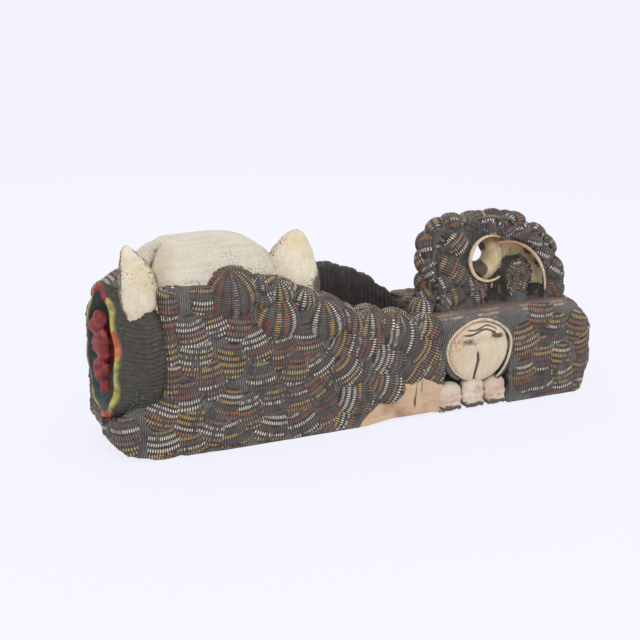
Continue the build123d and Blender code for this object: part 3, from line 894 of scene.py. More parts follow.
def make_tail():
    tail = remeshed_nodes("tail_curl", ["tail_coil", "tail_tip"], 0.0024, 3, [TAIL_PAINT, GROOVE_PAINT])
    mesh = tail.data
    skin = 0.5 * (TAIL_HIGH.y - TAIL_LOW.y) - 0.006
    for polygon in mesh.polygons:
        centre = polygon.center
        deep = abs(centre.y - TAIL_Y) < skin or in_channel(centre, -0.004)
        outer = (centre - TAIL_CENTRE).xz.length > CHANNEL_RADIUS + 0.018
        if deep and in_channel(centre, 0.003) and not outer:
            polygon.material_index = 1
    displace(tail, tail_relief)
    for vertex in tail.data.vertices:
        vertex.co = rounded_rim(vertex.co)
    set_values(tail, "grime_and_shade", lambda place, normal: 0.5 * noise.noise(place * 30) + 0.2)
    set_values(tail, "row", lambda place, normal: 0.09)
    set_values(tail, "tick", lambda place, normal: (place.x + place.y) / TICK_PITCH + 400.0)
    set_values(tail, "tone", lambda place, normal: 0.37)
    set_values(tail, "rim", lambda place, normal: 0.12)
    return put(tail, "tail_paint", "tail_coil", "tail_tip")


TAIL = make_tail()
TAIL_TREE = bvh_of(TAIL)


TIP = (TIP_LOW + TIP_HIGH) / 2
KNOB_GAP = 0.0238
TIP_KNOB_GAP = 0.0145


def make_tail_knobs():
    """Round bumps all over the tail and, smaller, over its curled tip."""
    random.seed(21)
    relief = Relief(TAIL_TREE)
    possible = [(polygon.center.copy(), polygon.normal.copy()) for polygon in TAIL.data.polygons]
    random.shuffle(possible)
    large, small = [], []
    for spot, normal in possible:
        on_face = abs(spot.y - TAIL_Y) > 0.018
        if spot.z < 0.157 or (spot - TAIL_CENTRE).normalized().dot(normal) < -0.35:
            continue
        if (spot - TIP).xz.length < 0.033:
            if on_face and all((spot - other).length > TIP_KNOB_GAP for other, _ in small):
                small.append((spot, normal))
        elif not in_channel(spot, 0.010) and (on_face or (spot - TAIL_CENTRE).xz.length > 0.095):
            if all((spot - other).length > KNOB_GAP for other, _ in large):
                large.append((spot, normal))
    for spots, size, height in ((large, 0.0385, 0.27), (small, 0.021, 0.32)):
        for spot, normal in spots:
            away = spot - TAIL_CENTRE
            down = Vector((away.x, 0.01 * random.uniform(-1, 1), away.z)).normalized()
            down += Vector((-away.z, 0, away.x)).normalized() * random.uniform(-0.9, 0.9)
            long = size * random.uniform(0.9, 1.12)
            across = size * random.uniform(0.84, 1.0)
            relief.knob(spot, normal, down, long, across, height * size, random.random(),
                        max(3, round(long / 0.0085)))
    return put(relief.build("tail_knobs", TAIL_PAINT), "tail_paint")


make_tail_knobs()


def make_eye_lips():
    """Raised cream lip round the tail's eye and groove, on each face."""
    for label, side in (("near", -1), ("far", 1)):
        y = TAIL_Y + side * (TAIL_HIGH.y - TAIL_Y + 0.0005)
        radius = EYE_RADIUS + 0.002
        path = [Vector((EYE.x + radius * math.cos(a), y, EYE.z + radius * math.sin(a)))
                for a in (math.radians(62 + 8 * i) for i in range(31))]
        radii = [0.0012 + 0.0016 * math.sin(math.pi * i / 30) for i in range(31)]
        put(tube("eye_lip_" + label, path, radii, [GROOVE_PAINT]), "tail_paint")
        outer = [Vector((CHANNEL.x + (CHANNEL_RADIUS + 0.001) * math.cos(a), y,
                         CHANNEL.z + (CHANNEL_RADIUS + 0.001) * math.sin(a)))
                 for a in (math.radians(98 - 4.2 * i) for i in range(25))]
        radii = [0.0012 + 0.0014 * math.sin(math.pi * i / 24) for i in range(25)]
        put(tube("groove_lip_" + label, outer, radii, [GROOVE_PAINT]), "tail_paint")


make_eye_lips()


def make_swirl():
    """Smooth cream turn of the tail that closes the lower right of its eye."""
    blobs = []
    for k in range(15):
        turn = math.radians(-112 + 11 * k)
        reach = 0.027 - 0.0004 * k
        centre = EYE + Vector((math.cos(turn) * reach, 0.004 - 0.0004 * k, math.sin(turn) * reach))
        blobs.append((centre, (0.0155, 0.017, 0.0155)))
    swirl = blobs_object("tail_swirl", blobs, 0.0016, 4, [GROOVE_PAINT])
    # Painted shade darkens the swirl left of the eye's middle, where it turns into the eye's hollow.
    set_values(swirl, "grime_and_shade", lambda place, normal: 0.25 + 0.9 * smooth_step(0.198 - place.x
               + 0.010 * noise.noise(place * 70), 0.0, 0.012))
    return put(swirl, "tail_paint")


make_swirl()


# ---------------------------------------------------------------- skull and horns
def make_skull():
    """Bare crown of the head: a boxy dome with a raised crest and a seam behind the near face, sunk in and
    darkened with painted shade.
    """
    base_z, top_z = 0.190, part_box("skull_cap")[1][2] - 0.0005
    half_left, half_right, half_depth = 0.118, 0.114, 0.0735
    rings, around = 64, 160
    points, grime_and_shade = [], []
    for i in range(rings + 1):
        height = math.cos(0.5 * math.pi * i / rings)
        reach = 1 - height ** 1.6
        for j in range(around):
            turn = 2 * math.pi * j / around
            c, s = math.cos(turn), math.sin(turn)
            power, half = (2.75, half_right) if c > 0 else (3.8, half_left)
            x = math.copysign((reach * c * c) ** (1 / power), c) * half
            y = math.copysign((reach * s * s) ** (1 / 2.7), s) * half_depth
            z = (top_z - base_z) * height
            leftness = smooth_step(-x, 0.02, 0.085)
            crest_y = 0.014 - 0.052 * smooth_step(-x, 0.045, 0.108)
            crest = hill(y - crest_y, 0.0045)
            seam = hill(y - crest_y + 0.009, 0.006)
            lift = 0.0015 * crest + 0.0045 * leftness * crest - 0.0045 * leftness * seam
            scrape = 0.0006 * noise.noise(Vector((x * 20, y * 90, z * 120)))
            outward = Vector((x / half, y / half_depth, 0.9 * height)).normalized()
            points.append(Vector((HEAD_X + x, MIDDLE_Y + y, base_z + z)) + outward * (lift + scrape))
            # Painted shade darkens the seam behind the crest, the dome's foot on the log and its right end
            # by the right horn.
            foot = smooth_step(0.052 + 0.012 * noise.noise(Vector((x * 18, y * 18, 3.0))) - z, 0.0, 0.02)
            grime_and_shade.append(0.75 * leftness * seam + 0.45 * foot + 0.35 * smooth_step(x, 0.07, 0.11))
    faces = grid_faces(rings + 1, around, closed=True)
    put(mesh_object("skull_dome", points, faces, [SKULL_PAINT], {"grime_and_shade": grime_and_shade}), "bare_wood", "skull_cap")


def lofted(name, sections, around, materials, grime_and_shade):
    """Closed skin through (x left, x right, z, y middle, half depth) sections."""
    points, values = [], []
    count = len(sections)
    for i, (left, right, z, middle, depth) in enumerate(sections):
        for j in range(around):
            turn = 2 * math.pi * j / around
            c, s = math.cos(turn), math.sin(turn)
            x = (left + right) / 2 + (right - left) / 2 * math.copysign(abs(c) ** 0.9, c)
            y = middle - depth * math.copysign(abs(s) ** 0.9, s)
            points.append(Vector((x, y, z)))
            values.append(grime_and_shade(i / (count - 1), c, s))
    faces = grid_faces(count, around, closed=True)
    faces.append(tuple(reversed(range(around))))
    faces.append(tuple(range(len(points) - around, len(points))))
    piece = mesh_object(name, points, faces, materials, {"grime_and_shade": values})
    displace(piece, lambda place, normal: (
        0.0006 * noise.noise(place * 130) + 0.0008 * noise.noise(place * 45)))
    return piece


def make_left_horn():
    """Leaf-shaped horn with a nearly straight outer edge and a dark rim."""
    low_z, high_z = 0.168, 0.2835
    left = [(0.0, -0.336), (0.12, -0.348), (0.30, -0.357), (0.50, -0.360), (0.8, -0.358), (0.95, -0.355),
            (1.0, -0.351)]
    right = [(0.0, -0.331), (0.15, -0.319), (0.32, -0.310), (0.50, -0.3085), (0.66, -0.312), (0.82, -0.324),
             (0.94, -0.338), (1.0, -0.346)]
    depth = [(0.0, 0.004), (0.3, 0.017), (0.6, 0.018), (0.85, 0.010), (1.0, 0.002)]
    sections = []
    for i in range(49):
        t = i / 48
        z = low_z + (high_z - low_z) * t
        sections.append((linear(left, t) + 0.003, linear(right, t) + 0.003, z, -0.068,
                         interpolated(depth, t)))

    def grime_and_shade(t, c, s):
        # The outer edge has a dark rim; painted shade darkens the right side, in the recess beside the horn,
        # and the foot where it meets the head.
        edge = smooth_step(-c, 0.86, 0.99)
        return 0.7 * edge + 0.70 * smooth_step(c, 0.35, 0.95) + 0.5 * smooth_step(0.16, t, 0.30) * (t < 0.16)

    piece = lofted("left_horn_leaf", sections, 56, [HORN_PAINT], grime_and_shade)
    return put(piece, "horn_paint", "left_horn")


def make_right_horn():
    """Blunt cone, darkened with painted shade at its foot where it meets the head and along its sides."""
    low_z, high_z = 0.176, 0.2780
    left = [(0.0, -0.132), (0.25, -0.144), (0.50, -0.1435), (0.65, -0.140), (0.80, -0.130), (0.90, -0.121),
            (0.96, -0.113),
            (0.99, -0.106), (1.0, -0.102)]
    right = [(0.0, -0.068), (0.25, -0.068), (0.50, -0.0730), (0.75, -0.080), (0.90, -0.0865),
             (0.96, -0.0905), (0.99, -0.095),
             (1.0, -0.098)]
    depth = [(0.0, 0.032), (0.4, 0.031), (0.7, 0.025), (0.90, 0.015), (0.97, 0.008), (1.0, 0.002)]
    sections = []
    for i in range(57):
        t = i / 56
        z = low_z + (high_z - low_z) * t
        sections.append((linear(left, t), linear(right, t), z, -0.046, interpolated(depth, t)))

    def grime_and_shade(t, c, s):
        # Painted shade darkens the foot where it meets the head, most on the right, and both sides.
        foot = smooth_step(0.42 - t + 0.20 * c, 0.0, 0.22)
        return 0.85 * foot * smooth_step(c, -0.6, 0.9) + 0.45 * smooth_step(abs(c), 0.80, 1.0)

    piece = lofted("right_horn_cone", sections, 64, [HORN_PAINT], grime_and_shade)
    return put(piece, "horn_paint", "right_horn")


make_skull()
make_left_horn()
make_right_horn()


# ---------------------------------------------------------------- ears
EAR_TURN = math.radians(17)    # the left ear opens this far towards the near side
EAR_DARK = (0.030, 0.028, 0.022)
EAR_OLIVE = (0.085, 0.078, 0.055)
EAR_TEAL = (0.055, 0.095, 0.095)
EAR_YELLOW = (0.47, 0.41, 0.10)
EAR_ORANGE = (0.62, 0.16, 0.06)
EAR_RED = (0.36, 0.035, 0.028)


def make_left_ear():
    """Gourd-shaped ear with a leaf-shaped mouth, ribbed outside and painted round its rim.

    The profile goes from the bottom of the hollow over the rim and back into the head:
    depth behind the rim, middle and half width across, and share of the full height.
    """
    heart = Vector((-0.366, -0.036, 0.136))
    out = Vector((-math.cos(EAR_TURN), -math.sin(EAR_TURN), 0))
    near = Vector((math.sin(EAR_TURN), -math.cos(EAR_TURN), 0))
    half_height = 0.090
    profile = [
        (0.024, -0.010, 0.000, 0.00), (0.022, -0.011, 0.012, 0.35), (0.014, -0.012, 0.022, 0.66),
        (0.004, -0.012, 0.027, 0.83), (-0.002, -0.012, 0.030, 0.92), (0.000, -0.012, 0.034, 1.00),
        (0.005, -0.007, 0.040, 1.00), (0.011, 0.003, 0.050, 0.98), (0.021, 0.011, 0.058, 0.95),
        (0.034, 0.014, 0.060, 0.92), (0.050, 0.012, 0.055, 0.88), (0.066, 0.002, 0.043, 0.80),
        (0.074, 0.000, 0.028, 0.50), (0.076, 0.000, 0.000, 0.00)]
    around, fine = 200, 7
    rings = [linear_pair(profile, k / fine) for k in range((len(profile) - 1) * fine + 1)]
    points, paints = [], []
    for k, (depth, middle, half, tall) in enumerate(rings):
        stage = k / fine
        outside = smooth_step(stage, 5.2, 6.5)
        at_rim = hill(stage - 5.0, 1.0)
        for j in range(around):
            turn = 2 * math.pi * j / around
            c, s = math.cos(turn), math.sin(turn)
            width = middle + half * math.copysign(abs(c) ** (1.15 - 0.45 * outside), c)
            height = half_height * tall * math.copysign(abs(s) ** 0.95, s)
            drift = 6 * noise.noise(Vector((c * 2, s * 2, depth * 40)))
            ribs = 0.0014 * outside * math.sin(84 * turn + drift)
            wave = 0.0028 * at_rim * math.sin(9 * turn + 0.7)
            bump = 0.0030 * outside * noise.noise(Vector((c * 3, s * 6, depth * 60)))
            place = heart + near * width + UP * height - out * (depth + wave)
            points.append(place + (near * c + UP * s) * (ribs + bump + 0.5 * wave))
            paints.append(left_ear_colour(s, stage, ribs))
    faces = grid_faces(len(rings), around, closed=True)
    ear = mesh_object("left_ear_pod", points, faces, [EAR_PAINT], {"paint": paints})
    put(ear, "ear_paint", "left_ear")


def linear_pair(stops, place):
    index = min(int(place), len(stops) - 2)
    t = place - index
    return tuple(a + (b - a) * t for a, b in zip(stops[index], stops[index + 1]))


def left_ear_colour(s, stage, rib):
    """Paint of the left ear: dark outside, coloured rim, teal inside."""
    rim = EAR_YELLOW
    if s > 0.84:
        rim = EAR_RED
    elif -0.02 < s < 0.34:
        rim = EAR_ORANGE
    elif s < -0.90:
        rim = EAR_ORANGE
    inside = EAR_TEAL if s < 0.2 else blend_colour(EAR_TEAL, EAR_DARK, 0.6)
    hide = blend_colour(EAR_DARK, EAR_OLIVE, 0.5 + 300 * rib)
    painted = blend_colour(inside, rim, smooth_step(stage, 3.6, 4.3))
    return blend_colour(painted, hide, smooth_step(stage, 4.9, 5.6))


def make_left_tuft():
    """Cluster of red knobs on a stalk inside the left ear."""
    random.seed(31)
    heart = Vector((-0.372, -0.030, 0.150))
    blobs = [((-0.352, -0.026, 0.146), (0.024, 0.011, 0.028))]
    for _ in range(34):
        z = random.uniform(-0.046, 0.036)
        spread = 0.015 * math.sqrt(max(0.05, 1 - (z / 0.055) ** 2))
        size = random.uniform(0.0055, 0.0095)
        blobs.append((heart + Vector((random.uniform(-0.004, 0.004), random.uniform(-spread, spread), z)),
                      (size, size, size * 1.15)))
    for z in (-0.052, -0.060):
        blobs.append((heart + Vector((0.002, -0.006, z)), (0.007, 0.007, 0.008)))
    tuft = blobs_object("left_ear_knobs", blobs, 0.0014, 2, [TUFT_PAINT])
    set_paint(tuft, lambda place, normal: blend_colour(
        (0.22, 0.018, 0.018), (0.36, 0.060, 0.055), smooth_step(noise.noise(place * 90), -0.3, 0.5)))
    put(tuft, "red_paint", "left_ear_tuft")


def right_ear_top(x):
    """Height of the right ear's scalloped upper edge."""
    height = interpolated([(-0.030, 0.207), (-0.018, 0.2085), (0.020, 0.197), (0.045, 0.185), (0.080, 0.160),
                           (0.096, 0.140)], x)
    notch = 1 - abs(math.sin(math.pi * (x + 0.03) / 0.0135))
    return height + 0.001 - 0.005 * notch * notch


def make_right_ear():
    """Leaf-shaped right ear seen from its ribbed back, with its painted hollow on the face side."""
    low, high = (Vector(c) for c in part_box("right_ear"))
    columns = 190
    section = [(0.0, 0.0), (0.02, 0.35), (0.05, 0.75), (0.14, 0.96), (0.30, 1.0), (0.55, 0.985),
               (0.80, 0.95),
               (0.86, 0.90), (0.72, 0.84), (0.45, 0.70), (0.30, 0.48), (0.42, 0.24), (0.70, 0.14),
               (0.88, 0.10),
               (0.97, 0.06), (1.0, 0.0)]
    fine = 4
    rows = [linear_pair(section, k / fine) for k in range((len(section) - 1) * fine + 1)]
    points, paints = [], []
    for i in range(columns):
        u = i / (columns - 1)
        x = low.x + 0.001 + (high.x - low.x - 0.002) * u
        hollow = (1 - abs(2 * u - 1) ** 5)
        top = right_ear_top(x)
        rib = math.sin(2 * math.pi * (x / 0.0068) + 1.5 * noise.noise(Vector((x * 60, 0, 0))))
        for depth, rise in rows:
            back = depth < 0.30
            inner = 0.30 <= depth < 0.9 and 0.1 < rise < 0.9
            shown = 1.0 - (1.0 - depth) * hollow if inner else depth
            y = low.y + (high.y - low.y) * shown + 0.0016 * rib * (back or rise > 0.93)
            z = low.z + (top - low.z) * rise
            points.append(Vector((x, y, z)))
            paints.append(right_ear_colour(depth, rise, u))
    faces = grid_faces(columns, len(rows))
    count = len(rows)
    faces.append(tuple(range(count)))
    faces.append(tuple(reversed(range(len(points) - count, len(points)))))
    ear = mesh_object("right_ear_leaf", points, faces, [EAR_PAINT], {"paint": paints})
    put(ear, "ear_paint", "right_ear")


def right_ear_colour(depth, rise, u):
    if depth < 0.55 and (rise > 0.93 or depth < 0.2):
        return (0.058, 0.050, 0.045)
    if rise > 0.86 or (depth > 0.86 and rise < 0.15):
        return EAR_YELLOW if 0.2 < u < 0.8 else EAR_ORANGE
    return EAR_TEAL


def make_right_tuft():
    random.seed(32)
    low, high = (Vector(c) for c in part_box("right_ear_tuft"))
    heart = (low + high) / 2
    blobs = [(heart, (0.010, 0.010, 0.016))]
    for _ in range(26):
        size = random.uniform(0.004, 0.0065)
        blobs.append((heart + Vector((random.uniform(-0.010, 0.010), random.uniform(-0.006, 0.008),
                                      random.uniform(-0.019, 0.019))), (size, size, size * 1.15)))
    tuft = blobs_object("right_ear_knobs", blobs, 0.0012, 2, [TUFT_PAINT])
    set_paint(tuft, lambda place, normal: blend_colour(
        (0.30, 0.02, 0.02), (0.46, 0.10, 0.09), smooth_step(noise.noise(place * 90), -0.3, 0.5)))
    put(tuft, "red_paint", "right_ear_tuft")


make_left_ear()
make_left_tuft()
make_right_ear()
make_right_tuft()


# ---------------------------------------------------------------- legs
ARCH_HALF_WIDTH = 0.0535
ARCH_TOP = 0.1325


def make_knee(node, side):
    """Haunch: a ball in its arch, with a deep cleft below and two folds above."""
    low, high = (Vector(c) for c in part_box(node))
    middle = (low + high) / 2
    flank = NEAR_Y if side < 0 else FAR_Y
    edge_depth, proud = 0.011, 0.0075
    rings, around = 56, 150
    points, grime_and_shade = [], []
    for i in range(rings + 1):
        polar = 0.5 * math.pi * i / rings
        for j in range(around):
            turn = 2 * math.pi * j / around
            reach = math.sin(polar) ** 0.9
            x = ARCH_HALF_WIDTH * 0.975 * reach * math.cos(turn)
            z = reach * math.sin(turn) * (ARCH_TOP - middle.z - 0.001 if math.sin(turn) > 0 else 0.050)
            height = math.cos(polar) ** 0.62
            below = smooth_step(0.004 - z, 0.0, 0.012) * (1 - smooth_step(-z, 0.042, 0.050))
            cleft = hill(x + 0.006 + 0.0015 * math.sin(z * 130), 0.0024) * below
            upper = hill(z - 0.033 - 0.0022 * math.sin(x * 150) + 5 * x * x, 0.0013) * (-0.022 < x < 0.026)
            lower = hill(z - 0.0285 - 0.0020 * math.sin(x * 150 + 0.6) + 7 * x * x, 0.0014)
            lower *= -0.028 < x < 0.022
            swell = 0.003 * hill(z - 0.024, 0.012) - 0.0028 * hill(z - 0.011, 0.007)
            dent = 0.0055 * (cleft + 0.28 * upper + 0.28 * lower)
            stand = (edge_depth + proud) * height - edge_depth + swell * height - dent
            points.append(Vector((middle.x + x, flank + side * stand, middle.z + z)))
            # Painted shade darkens the cleft, the two folds and the ball's edge where it meets its recess.
            edge = smooth_step(reach, 0.93, 1.0)
            smudge = 0.75 * hill(x + 0.022, 0.020) * hill(z - 0.014, 0.009)
            smudge += 1.00 * hill(x - 0.026, 0.015) * hill(z - 0.019 + 0.2 * (x - 0.026), 0.0060)
            grime_and_shade.append(min(1.3, 1.25 * cleft + 1.1 * upper + 1.1 * lower + 0.9 * edge + smudge))
    for j in range(around):
        points.append(points[rings * around + j] - Vector((0, side * 0.018, 0)))
        grime_and_shade.append(1.2)
    faces = grid_faces(rings + 2, around, closed=True)
    faces.append(tuple(range(len(points) - around, len(points))))
    if side > 0:
        faces = [tuple(reversed(face)) for face in faces]
    put(mesh_object(node + "_ball", points, faces, [LIMB_PAINT], {"grime_and_shade": grime_and_shade}), "limb_paint", node)


def make_arch(label, side):
    """Raised cream line round a hind leg, on a dark roll that fills the edge of its recess."""
    y = (NEAR_Y if side < 0 else FAR_Y) - side * 0.0010
    centre = Vector((LEG_X, y, (KNEE_LOW.z + KNEE_HIGH.z) / 2))
    steps = 64
    line, roll = [], []
    for i in range(steps + 1):
        turn = math.radians(-58 + 296 * i / steps)
        wander = 0.0007 * math.sin(5 * turn)
        across = math.cos(turn) * (ARCH_HALF_WIDTH + wander)
        rise = math.sin(turn) * (ARCH_TOP - centre.z + wander if turn > 0 else ARCH_HALF_WIDTH)
        line.append(centre + Vector((across, side * 0.0020, rise)))
        roll.append(centre + Vector((across * 1.055, -side * 0.0035, rise * 1.10)))
    taper = [math.sin(math.pi * i / steps) ** 0.5 for i in range(steps + 1)]
    put(tube("arch_line_" + label, line, [0.0008 + 0.0014 * t for t in taper], [LIMB_PAINT]), "limb_paint")
    thick = [0.0030 + 0.0030 * t for t in taper]
    put(tube("arch_roll_" + label, roll, thick, [LOG_PAINT], 16), "scale_paint")


def make_paw(name, node, side):
    """Paw of three broad toes, each with a knuckle, a pad and two claws."""
    low, high = (Vector(c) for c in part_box(node))
    front = high.y if side > 0 else low.y
    flank = FAR_Y if side > 0 else NEAR_Y
    root = flank - side * 0.028 if "hind" in name else flank
    reach = abs(front - root)
    toes = [(0.16, 0.040, 0.97), (0.50, 0.038, 1.05), (0.82, 0.038, 1.0)]
    blobs = []
    if side < 0:
        low.x -= 0.011
    span = high.x - low.x
    for spot, width, tall in toes:
        x = low.x + span * spot
        half = width / 2 + 0.0006
        y_mid = root + side * 0.52 * reach
        blobs.append(((x, y_mid, 0.030 * tall), (half, 0.46 * reach, 0.015 * tall)))
        blobs.append(((x, root + side * 0.62 * reach, 0.020), (half * 1.02, 0.37 * reach, 0.013)))
        blobs.append(((x, root + side * 0.66 * reach, 0.011), (half * 0.94, 0.33 * reach, 0.0105)))
        for claw in (-0.32, 0.32):
            tip = (x + claw * width, root + side * (reach - 0.0035), 0.0085)
            blobs.append((tip, (0.0032, 0.0042, 0.0055)))
    blobs.append(((low.x + span / 2, root + side * 0.25 * reach, 0.020), (span * 0.46, 0.27 * reach, 0.017)))
    paw = blobs_object(name, blobs, 0.0013, 2, [PAW_PAINT])
    folds = (0.0125, 0.0165, 0.0245)
    displace(paw, lambda place, normal: -0.0007 * sum(
        hill(place.z - fold - 0.0012 * math.sin(place.x * 260), 0.0008) for fold in folds))

    def paw_grime_and_shade(place, normal):
        # Painted shade darkens the gaps between the toes, the folds and the underside of the sole; the
        # smudges are dark marks brushed on the toes.
        gap = min(abs(place.x - (low.x + span * cut)) for cut in (0.335, 0.665))
        crease = sum(hill(place.z - fold - 0.0012 * math.sin(place.x * 260), 0.0012) for fold in folds)
        smudge = sum(hill(place.x - low.x - span * spot, 0.006) for spot in (0.30, 0.52))
        smudge *= hill(place.z - 0.036, 0.007)
        sole = smooth_step(0.015 - place.z, 0.0, 0.009)
        return 0.7 * hill(gap, 0.0016) + 0.30 * crease + 0.55 * smudge + 1.2 * sole

    set_values(paw, "grime_and_shade", paw_grime_and_shade)
    return put(paw, "limb_paint", node)


for label, side in (("near", -1), ("far", 1)):
    make_knee(label + "_knee", side)
    make_arch(label, side)
    make_paw(label + "_hind_toes", label + "_hind_paw", side)
make_paw("left_front_toes", "left_front_paw", 1)
make_paw("right_front_toes", "right_front_paw", 1)


# ---------------------------------------------------------------- face
FACE_TEAL = (0.060, 0.110, 0.105)
FACE_LIGHT = (0.33, 0.33, 0.24)
LIP_RED = (0.34, 0.035, 0.030)


def make_snout():
    """Upper muzzle with cheek lobes, wrinkles over the bridge and a rolled red lip."""
    low, high = (Vector(c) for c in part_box("snout"))
    deep = high.y - low.y
    blobs = []
    for side in (-1, 1):
        blobs.append(((HEAD_X + side * 0.033, low.y + 0.46 * deep, 0.146), (0.028, 0.50 * deep, 0.025)))
        blobs.append(((HEAD_X + side * 0.047, low.y + 0.28 * deep, 0.138), (0.0145, 0.34 * deep, 0.0175)))
    blobs.append(((HEAD_X, low.y + 0.44 * deep, 0.148), (0.022, 0.50 * deep, 0.023)))
    for k in range(21):
        u = -1 + k / 10
        forward = low.y + deep * (0.72 - 0.38 * u * u)
        blobs.append(((HEAD_X + 0.054 * u, forward, 0.126 - 0.003 * (1 - u * u)), (0.0062, 0.0068, 0.0060)))
    snout = blobs_object("snout_carving", blobs, 0.0016, 2, [FACE_PAINT])
    displace(snout, lambda place, normal: 0.0012 * math.sin(place.z * 900 + 30 * abs(place.x - HEAD_X))
             * smooth_step(place.z, 0.134, 0.142))

    def snout_colour(place, normal):
        if place.z < 0.1315:
            return LIP_RED
        ring = math.sin(place.z * 900 + 30 * abs(place.x - HEAD_X))
        return blend_colour(FACE_TEAL, FACE_LIGHT, smooth_step(ring, 0.1, 0.8))

    set_paint(snout, snout_colour)
    put(snout, "face_paint", "snout")


def make_nose():
    low, high = (Vector(c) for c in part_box("nose"))
    y = low.y + 0.42 * (high.y - low.y)
    blobs = [((HEAD_X, y + 0.002, 0.183), (0.0095, 0.0115, 0.0105))]
    for side in (-1, 1):
        blobs.append(((HEAD_X + side * 0.0125, y, 0.1805), (0.0090, 0.0105, 0.0080)))
        blobs.append(((HEAD_X + side * 0.0165, y - 0.004, 0.185), (0.0050, 0.0075, 0.0062)))
    nose = blobs_object("nose_carving", blobs, 0.0009, 2, [TUFT_PAINT])
    nostrils = [Vector((HEAD_X + side * 0.0115, high.y - 0.004, 0.1790)) for side in (-1, 1)]
    displace(nose, lambda place, normal: (
        -0.004 * sum(hill((place - spot).length, 0.0042) for spot in nostrils)))

    def nose_colour(place, normal):
        # The nostrils are painted near black: painted shade inside them.
        depth = sum(hill((place - spot).length, 0.0052) for spot in nostrils)
        return blend_colour(LIP_RED, (0.02, 0.01, 0.01), min(1.0, depth))

    set_paint(nose, nose_colour)
    put(nose, "red_paint", "nose")


def make_jaw():
    low, high = (Vector(c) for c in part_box("lower_jaw"))
    deep = high.y - low.y
    blobs = []
    for k in range(23):
        u = -1 + k / 11
        y = low.y + deep * (0.68 - 0.36 * u * u)
        blobs.append(((HEAD_X + 0.0505 * u, y, 0.0620), (0.0060, 0.0070, 0.0055)))
        blobs.append(((HEAD_X + 0.0490 * u, y - 0.003, 0.0545), (0.0070, 0.0085, 0.0070)))
    blobs.append(((HEAD_X, low.y + 0.28 * deep, 0.0585), (0.0500, 0.30 * deep, 0.0105)))
    jaw = blobs_object("jaw_carving", blobs, 0.0014, 2, [FACE_PAINT])
    set_paint(jaw, lambda place, normal: LIP_RED if place.z > 0.0590 else blend_colour(
        FACE_TEAL, FACE_LIGHT, smooth_step(math.sin(place.x * 420), 0.2, 0.9)))
    put(jaw, "face_paint", "lower_jaw")


def make_tongue():
    low, high = (Vector(c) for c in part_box("tongue"))
    half = (high.x - low.x) / 2
    blobs = []
    for k in range(24):
        t = k / 23
        y = low.y + 0.006 + (high.y - low.y - 0.012) * t
        width = half * (1 - 0.45 * smooth_step(t, 0.6, 1.0))
        blobs.append(((HEAD_X, y, 0.0752 + 0.001 * math.sin(3 * t)), (width, 0.0075, 0.0050)))
    tongue = blobs_object("tongue_carving", blobs, 0.0012, 3, [TUFT_PAINT])
    displace(tongue, lambda place, normal: -0.0016 * hill(place.x - HEAD_X, 0.0022) * (normal.z > 0))
    set_paint(tongue, lambda place, normal: blend_colour(
        (0.40, 0.06, 0.055), (0.16, 0.015, 0.015), hill(place.x - HEAD_X, 0.003)))
    put(tongue, "red_paint", "tongue")


def make_teeth():
    """Flat front teeth above and below, and four pointed fangs."""
    upper, lower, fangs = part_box("upper_teeth"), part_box("lower_teeth"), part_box("fangs")
    rows = (("upper_tooth_row", "upper_teeth", upper, 6), ("lower_tooth_row", "lower_teeth", lower, 4))
    for name, node, (low, high), count in rows:
        pitch = (high[0] - low[0]) / count
        depth = high[1] - low[1]
        blobs = []
        for k in range(count):
            x = low[0] + pitch * (k + 0.5)
            for rise, width in ((0.30, 0.92), (0.5, 1.0), (0.70, 0.94)):
                z = low[2] + (high[2] - low[2]) * rise
                blobs.append(((x, (low[1] + high[1]) / 2, z), (0.47 * pitch * width, 0.48 * depth,
                                                            0.30 * (high[2] - low[2]))))
        teeth = blobs_object(name, blobs, 0.0007, 1, [SKULL_PAINT])
        set_values(teeth, "grime_and_shade", lambda place, normal: 0.2)
        put(teeth, "tooth_paint", node)
    low, high = fangs
    blobs = []
    middle_y = (low[1] + high[1]) / 2
    for side in (-1, 1):
        x = HEAD_X + side * 0.045
        for root_z, tip_z in ((0.118, 0.090), (0.070, 0.094)):
            for k in range(9):
                t = k / 8
                size = 0.0060 * (1 - 0.72 * t) + 0.0006
                z = root_z + (tip_z - root_z) * t
                blobs.append(((x, middle_y + 0.001 * math.sin(2.5 * t), z), (size, size * 1.1, 0.0045)))
    teeth = blobs_object("fang_carving", blobs, 0.0008, 1, [SKULL_PAINT])
    set_values(teeth, "grime_and_shade", lambda place, normal: 0.25)
    put(teeth, "tooth_paint", "fangs")


def eye_colour(centre):
    def colour(place, normal):
        off = (place - centre).normalized().angle(FAR)
        if off < 0.30:
            return (0.008, 0.007, 0.007)
        if off < 0.62:
            return (0.30, 0.13, 0.03)
        if off < 0.70:
            return (0.015, 0.012, 0.010)
        return (0.70, 0.66, 0.55)
    return colour


def make_eyes():
    low, high = (Vector(c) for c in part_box("eyes"))
    radius = (high.z - low.z) / 2
    middle = (low + high) / 2
    for label, x in (("left", low.x + radius), ("right", high.x - radius)):
        centre = Vector((x, middle.y, middle.z))
        facing = Matrix.Rotation(-math.pi / 2, 3, "X")
        points, faces = ball((0, 0, 0), (radius, radius, radius), facing, 40, 64)
        points = [centre + p for p in points]
        for i, place in enumerate(points):
            off = (place - centre).normalized().angle(FAR)
            points[i] = centre + (place - centre) * (1 + 0.035 * hill(off, 0.5))
        eye = mesh_object(label + "_eye_ball", points, faces, [EYE_PAINT])
        set_paint(eye, eye_colour(centre))
        put(eye, "eye_paint", *(("eyes",) if label == "left" else ()))


